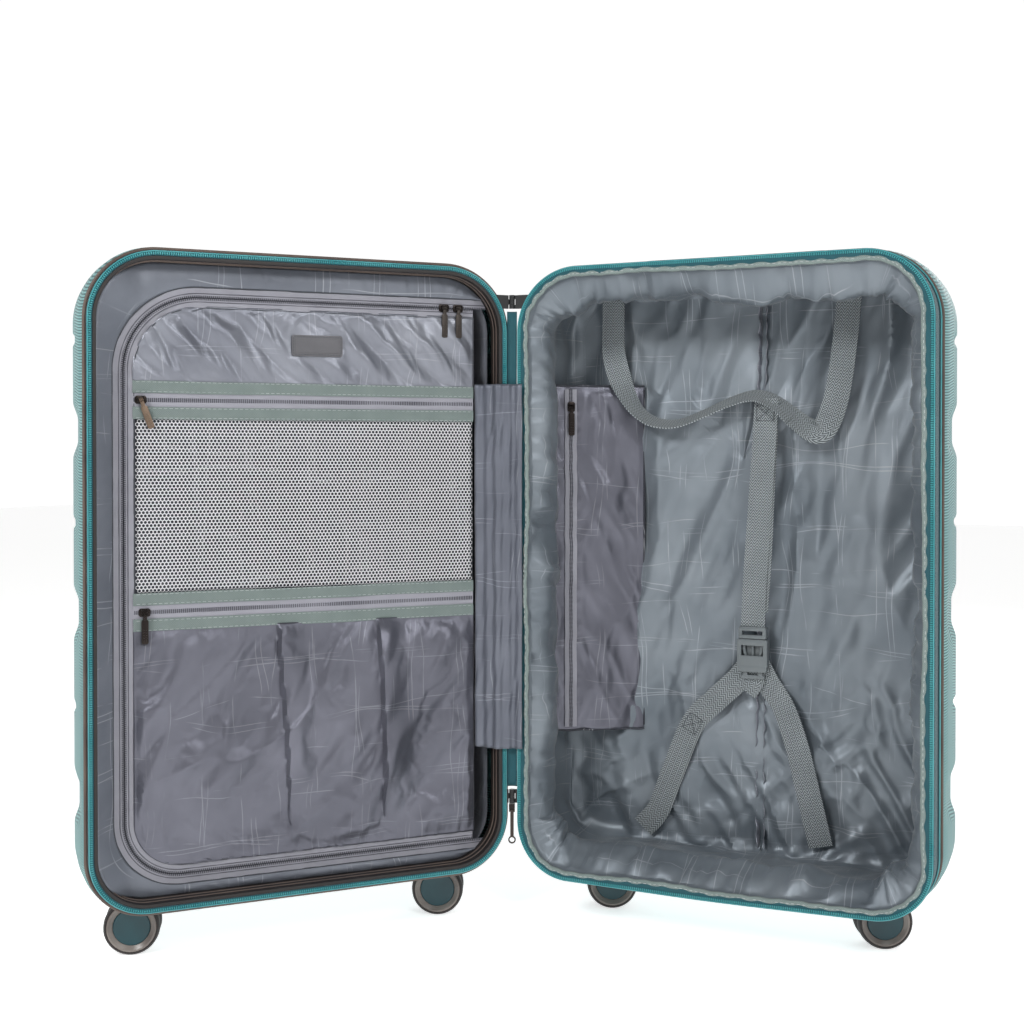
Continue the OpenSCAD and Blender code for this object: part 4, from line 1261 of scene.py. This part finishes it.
def pull_shape(length, lean):
    """A pull on its pin: a ring, a neck and a long plate with two rows of small bosses."""
    parts = Parts()
    turn = circle(24)
    for x in (-1.4, 0, 1.4):
        parts.tube(spread(x, 1.75 * np.cos(turn), 1.75 * np.sin(turn)), 0.62, 8, closed=True)
    parts.slab((-1.9, -8), (1.9, -1.6), -0.8, 0.8, 0.9, 0.4)
    parts.slab((-3.3, -length), (3.3, -6.5), -0.8, 0.8, 1.9, 0.5)
    for x in (-1.2, 1.2):
        for z in np.arange(-length + 3.4, -length + 15, 2.6):
            parts.slab((x - 0.75, z - 0.75), (x + 0.75, z + 0.75), -1.15, -0.6, 0.7, 0.25)
    return tilt(parts.move(lambda p: p + (0, -PIN_N, 0)), lean)


def make_zip_pulls():
    on_side = lambda p: from_side(SIDE_ZIP + p[..., 0], -1.2 + p[..., 1], 486 + p[..., 2])
    at = lambda *place: lambda p: p + place
    for zip_name, along, across, length, lean, look, half, change in (
        ("divider_{}_a", 11, 8, 31, 0, "gunmetal", "lid", at(52, DIVIDER_V - 0.3, DIVIDER_TOP)),
        ("divider_{}_b", 11, 8, 31, 0, "gunmetal", "lid", at(67.5, DIVIDER_V - 0.3, DIVIDER_TOP)),
        ("mesh_{}", 11, 8, 29, MESH_LEAN, "bronze", "lid", at(375, DIVIDER_V - 1.8, MESH_ZIP_Z)),
        ("lower_{}", 11, 8, 30, 0, "slider", "lid", at(372, DIVIDER_V - 1.8, LOWER_ZIP_Z)),
        ("side_{}", 8, 11, 31, 0, "slider", "rear", on_side),
    ):
        for part, shape, finish in (("slider", slider_shape(along, across, lean), "slider"),
                                    ("pull", pull_shape(length, lean), look)):
            name = zip_name.format(part)
            make_piece(name + "_shape", shape.move(change), half, finish, name + "_body", name)


# ---- casters ----

def make_wheels():
    """Twin wheels: a dished hub, a dark groove, a grey ring and a tyre with rounded shoulders. Above each pair
    is the swivel crown of its caster."""
    inner = WEB_HALF + SLOT_GAP
    face = inner + WHEEL_W
    profiles = {
        "tyre": [(20, inner + 1), (25, inner + 0.4), (26.6, inner + 2.4), (WHEEL_R, inner + 5.5),
                 (26.6, face - 1.8), (25.4, face - 0.3), (24.2, face - 0.1), (23.6, face - 1), (20, face - 2)],
        "ring": [(17.4, inner + 1), (23.8, inner + 1), (23.8, face - 0.5), (23.3, face), (21.9, face + 0.1),
                 (21.3, face - 0.4), (18.6, face - 2.2), (17.9, face - 2.9)],
        "hub": [(0.01, inner + 0.3), (17.9, inner + 0.3), (17.9, face - 2.6), (17.2, face - 1.9),
                (16, face - 2.1), (11, face - 2.7), (5, face - 3.0), (0.01, face - 3.1)],
    }
    for i in range(1, 5):
        joint = joints[f"wheel_spin_{i}"]
        centre = np.array(joint["pos_m"])
        turn = np.array(Vector(joint["axis"]).to_track_quat("Z", "Y").to_matrix())
        for name, profile in profiles.items():
            parts = Parts()
            for side in (-1, 1):
                parts.lathe([(r, side * h) for r, h in profile], 72)
            parts.move(lambda p: p * MM @ turn.T + centre)
            node = f"wheels_{i}" if name == "tyre" else None
            make_piece(f"{name}_{i}", parts, None, name, f"wheel_{i}", node)
        swivel = joints[f"caster_swivel_{i}"]["pos_m"]
        crown = Parts().lathe([(0.01, 4.1), (17.5, 4.1), (18.8, 4.8), (19, 6), (18.4, 7.6), (0.01, 7.7)], 48)
        crown.move(lambda p: p * MM + (swivel[0], swivel[1], FOOT_Z))
        make_piece(f"caster_crown_{i}", crown, None, "caster", f"caster_{i}")


# ---- trolley, handle and the CAD nodes that stay ----

def finish_cad_nodes():
    """Materials and eased edges for the CAD nodes that stay."""
    kept = {
        "alu": ["outer_tubes", "mid_tubes", "inner_tubes"],
        "black": ["trolley_foot", "handle_mounts", "hinge_rear", "hinge_front", "grip"],
        "caster": ["rear_caster_mounts", "front_caster_mounts", "fork_1", "fork_2", "fork_3", "fork_4"],
        "steel": ["hinge_pins"], "slider": ["main_slider"], "tail": ["main_tail"], "gunmetal": ["grip_button"],
    }
    for look, names in kept.items():
        for name in names:
            nodes[name].data.materials.clear()
            nodes[name].data.materials.append(looks[look])
    for name, width in (("grip", 1.6), ("grip_button", 0.8), ("handle_mounts", 1.2)):
        bevel = nodes[name].modifiers.new("eased", "BEVEL")
        bevel.width = width * MM
        bevel.segments = 3
        bevel.limit_method = "ANGLE"
        bevel.angle_limit = math.radians(50)


def case_box(node):
    """A rear node's lowest and highest corners in the case frame."""
    return [((p.x - HINGE.x) / MM, (p.y - HINGE.y) / MM, (p.z - FOOT_Z) / MM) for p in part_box(node)]


def make_trolley_bezel():
    """Housing of the trolley: round ends, a line below its eased edge, and the open well for the grip."""
    (u0, v0, z0), (u1, v1, z1) = case_box("trolley_housing")
    wall, end, well = 1.8, 11.0, 24.0
    outer = rounded_path((u0, v0), (u1, v1), 8, 8, 200)[:2]
    inner = rounded_path((u0 + end, v0 + wall), (u1 - end, v1 - wall), 3, 3, 200)[:2]
    rows = [(outer, 0.8, z0), (outer, 0, z0 + 1), (outer, 0, z1 - 6.5), (outer, 0.5, z1 - 6.1),
            (outer, 0.5, z1 - 5.3), (outer, 0, z1 - 4.9), (outer, 0, z1 - 1.5), (outer, 0.4, z1 - 0.4),
            (outer, 1.2, z1), (inner, 0, z1), (inner, 0, z1 - 1), (inner, 0, z1 - well), (inner, 2, z1 - well)]
    grid = [around(points, normals, inset, z)[:, [0, 2, 1]] for (points, normals), inset, z in rows]
    parts = Parts().grid(np.stack(grid, 1), wrap_rows=True, capped=True)
    make_piece("trolley_bezel", parts, "rear", "black", "rear_half", "trolley_housing")


def make_top_handle():
    """Soft carry handle on the top edge: a low arch with rounded shoulders and a foot at each end."""
    (u0, v0, z0), (u1, v1, z1) = case_box("top_handle")
    middle, half_v, thick = (v0 + v1) / 2, (v1 - v0) / 2, 1.9
    u = np.linspace(u0, u1, 60)[:, None]
    share = (u - u0) / (u1 - u0)
    end = np.sin(np.clip(np.minimum(share, 1 - share) * 14, 0, 1) * math.pi / 2)
    wide = half_v * (0.55 + 0.45 * end) * (1 - 0.14 * np.sin(math.pi * (u - u0) / (u1 - u0)))
    cos, sin = np.cos(circle(20)), np.sin(circle(20))
    ring_v = middle + wide * np.sign(cos) * np.abs(cos) ** 0.6
    ring_z = z1 - 1.9 + thick * (0.5 + 0.5 * end) * np.sign(sin) * np.abs(sin) ** 0.7
    parts = Parts().grid(spread(u, ring_v, ring_z), wrap_cols=True, capped=True)
    for side in (u0 + 15, u1 - 15):
        parts.slab((side - 9, z0), (side + 9, z1 - 2.4), middle - 3.5, middle + 3.5, 1.2, 0.6)
    make_piece("carry_handle", parts, "rear", "handle", "carry_handle", "top_handle")


# ---- build ----

def build():
    make_camera()
    make_studio()
    looks.update(make_materials())
    make_shell("shell_rear", "rear", REAR_EDGE, REAR_DEPTH, "rear_half", "rear_shell")
    make_shell("shell_front", "lid", FRONT_EDGE, FRONT_DEPTH, "lid", "front_shell")
    make_rims()
    make_rear_lining()
    make_front_lining()
    make_border()
    make_divider()
    make_straps()
    make_buckle()
    make_side_pocket()
    make_centre_seam()
    make_hinge_cloth()
    make_zip_pulls()
    make_wheels()
    make_trolley_bezel()
    make_top_handle()
    finish_cad_nodes()


build()
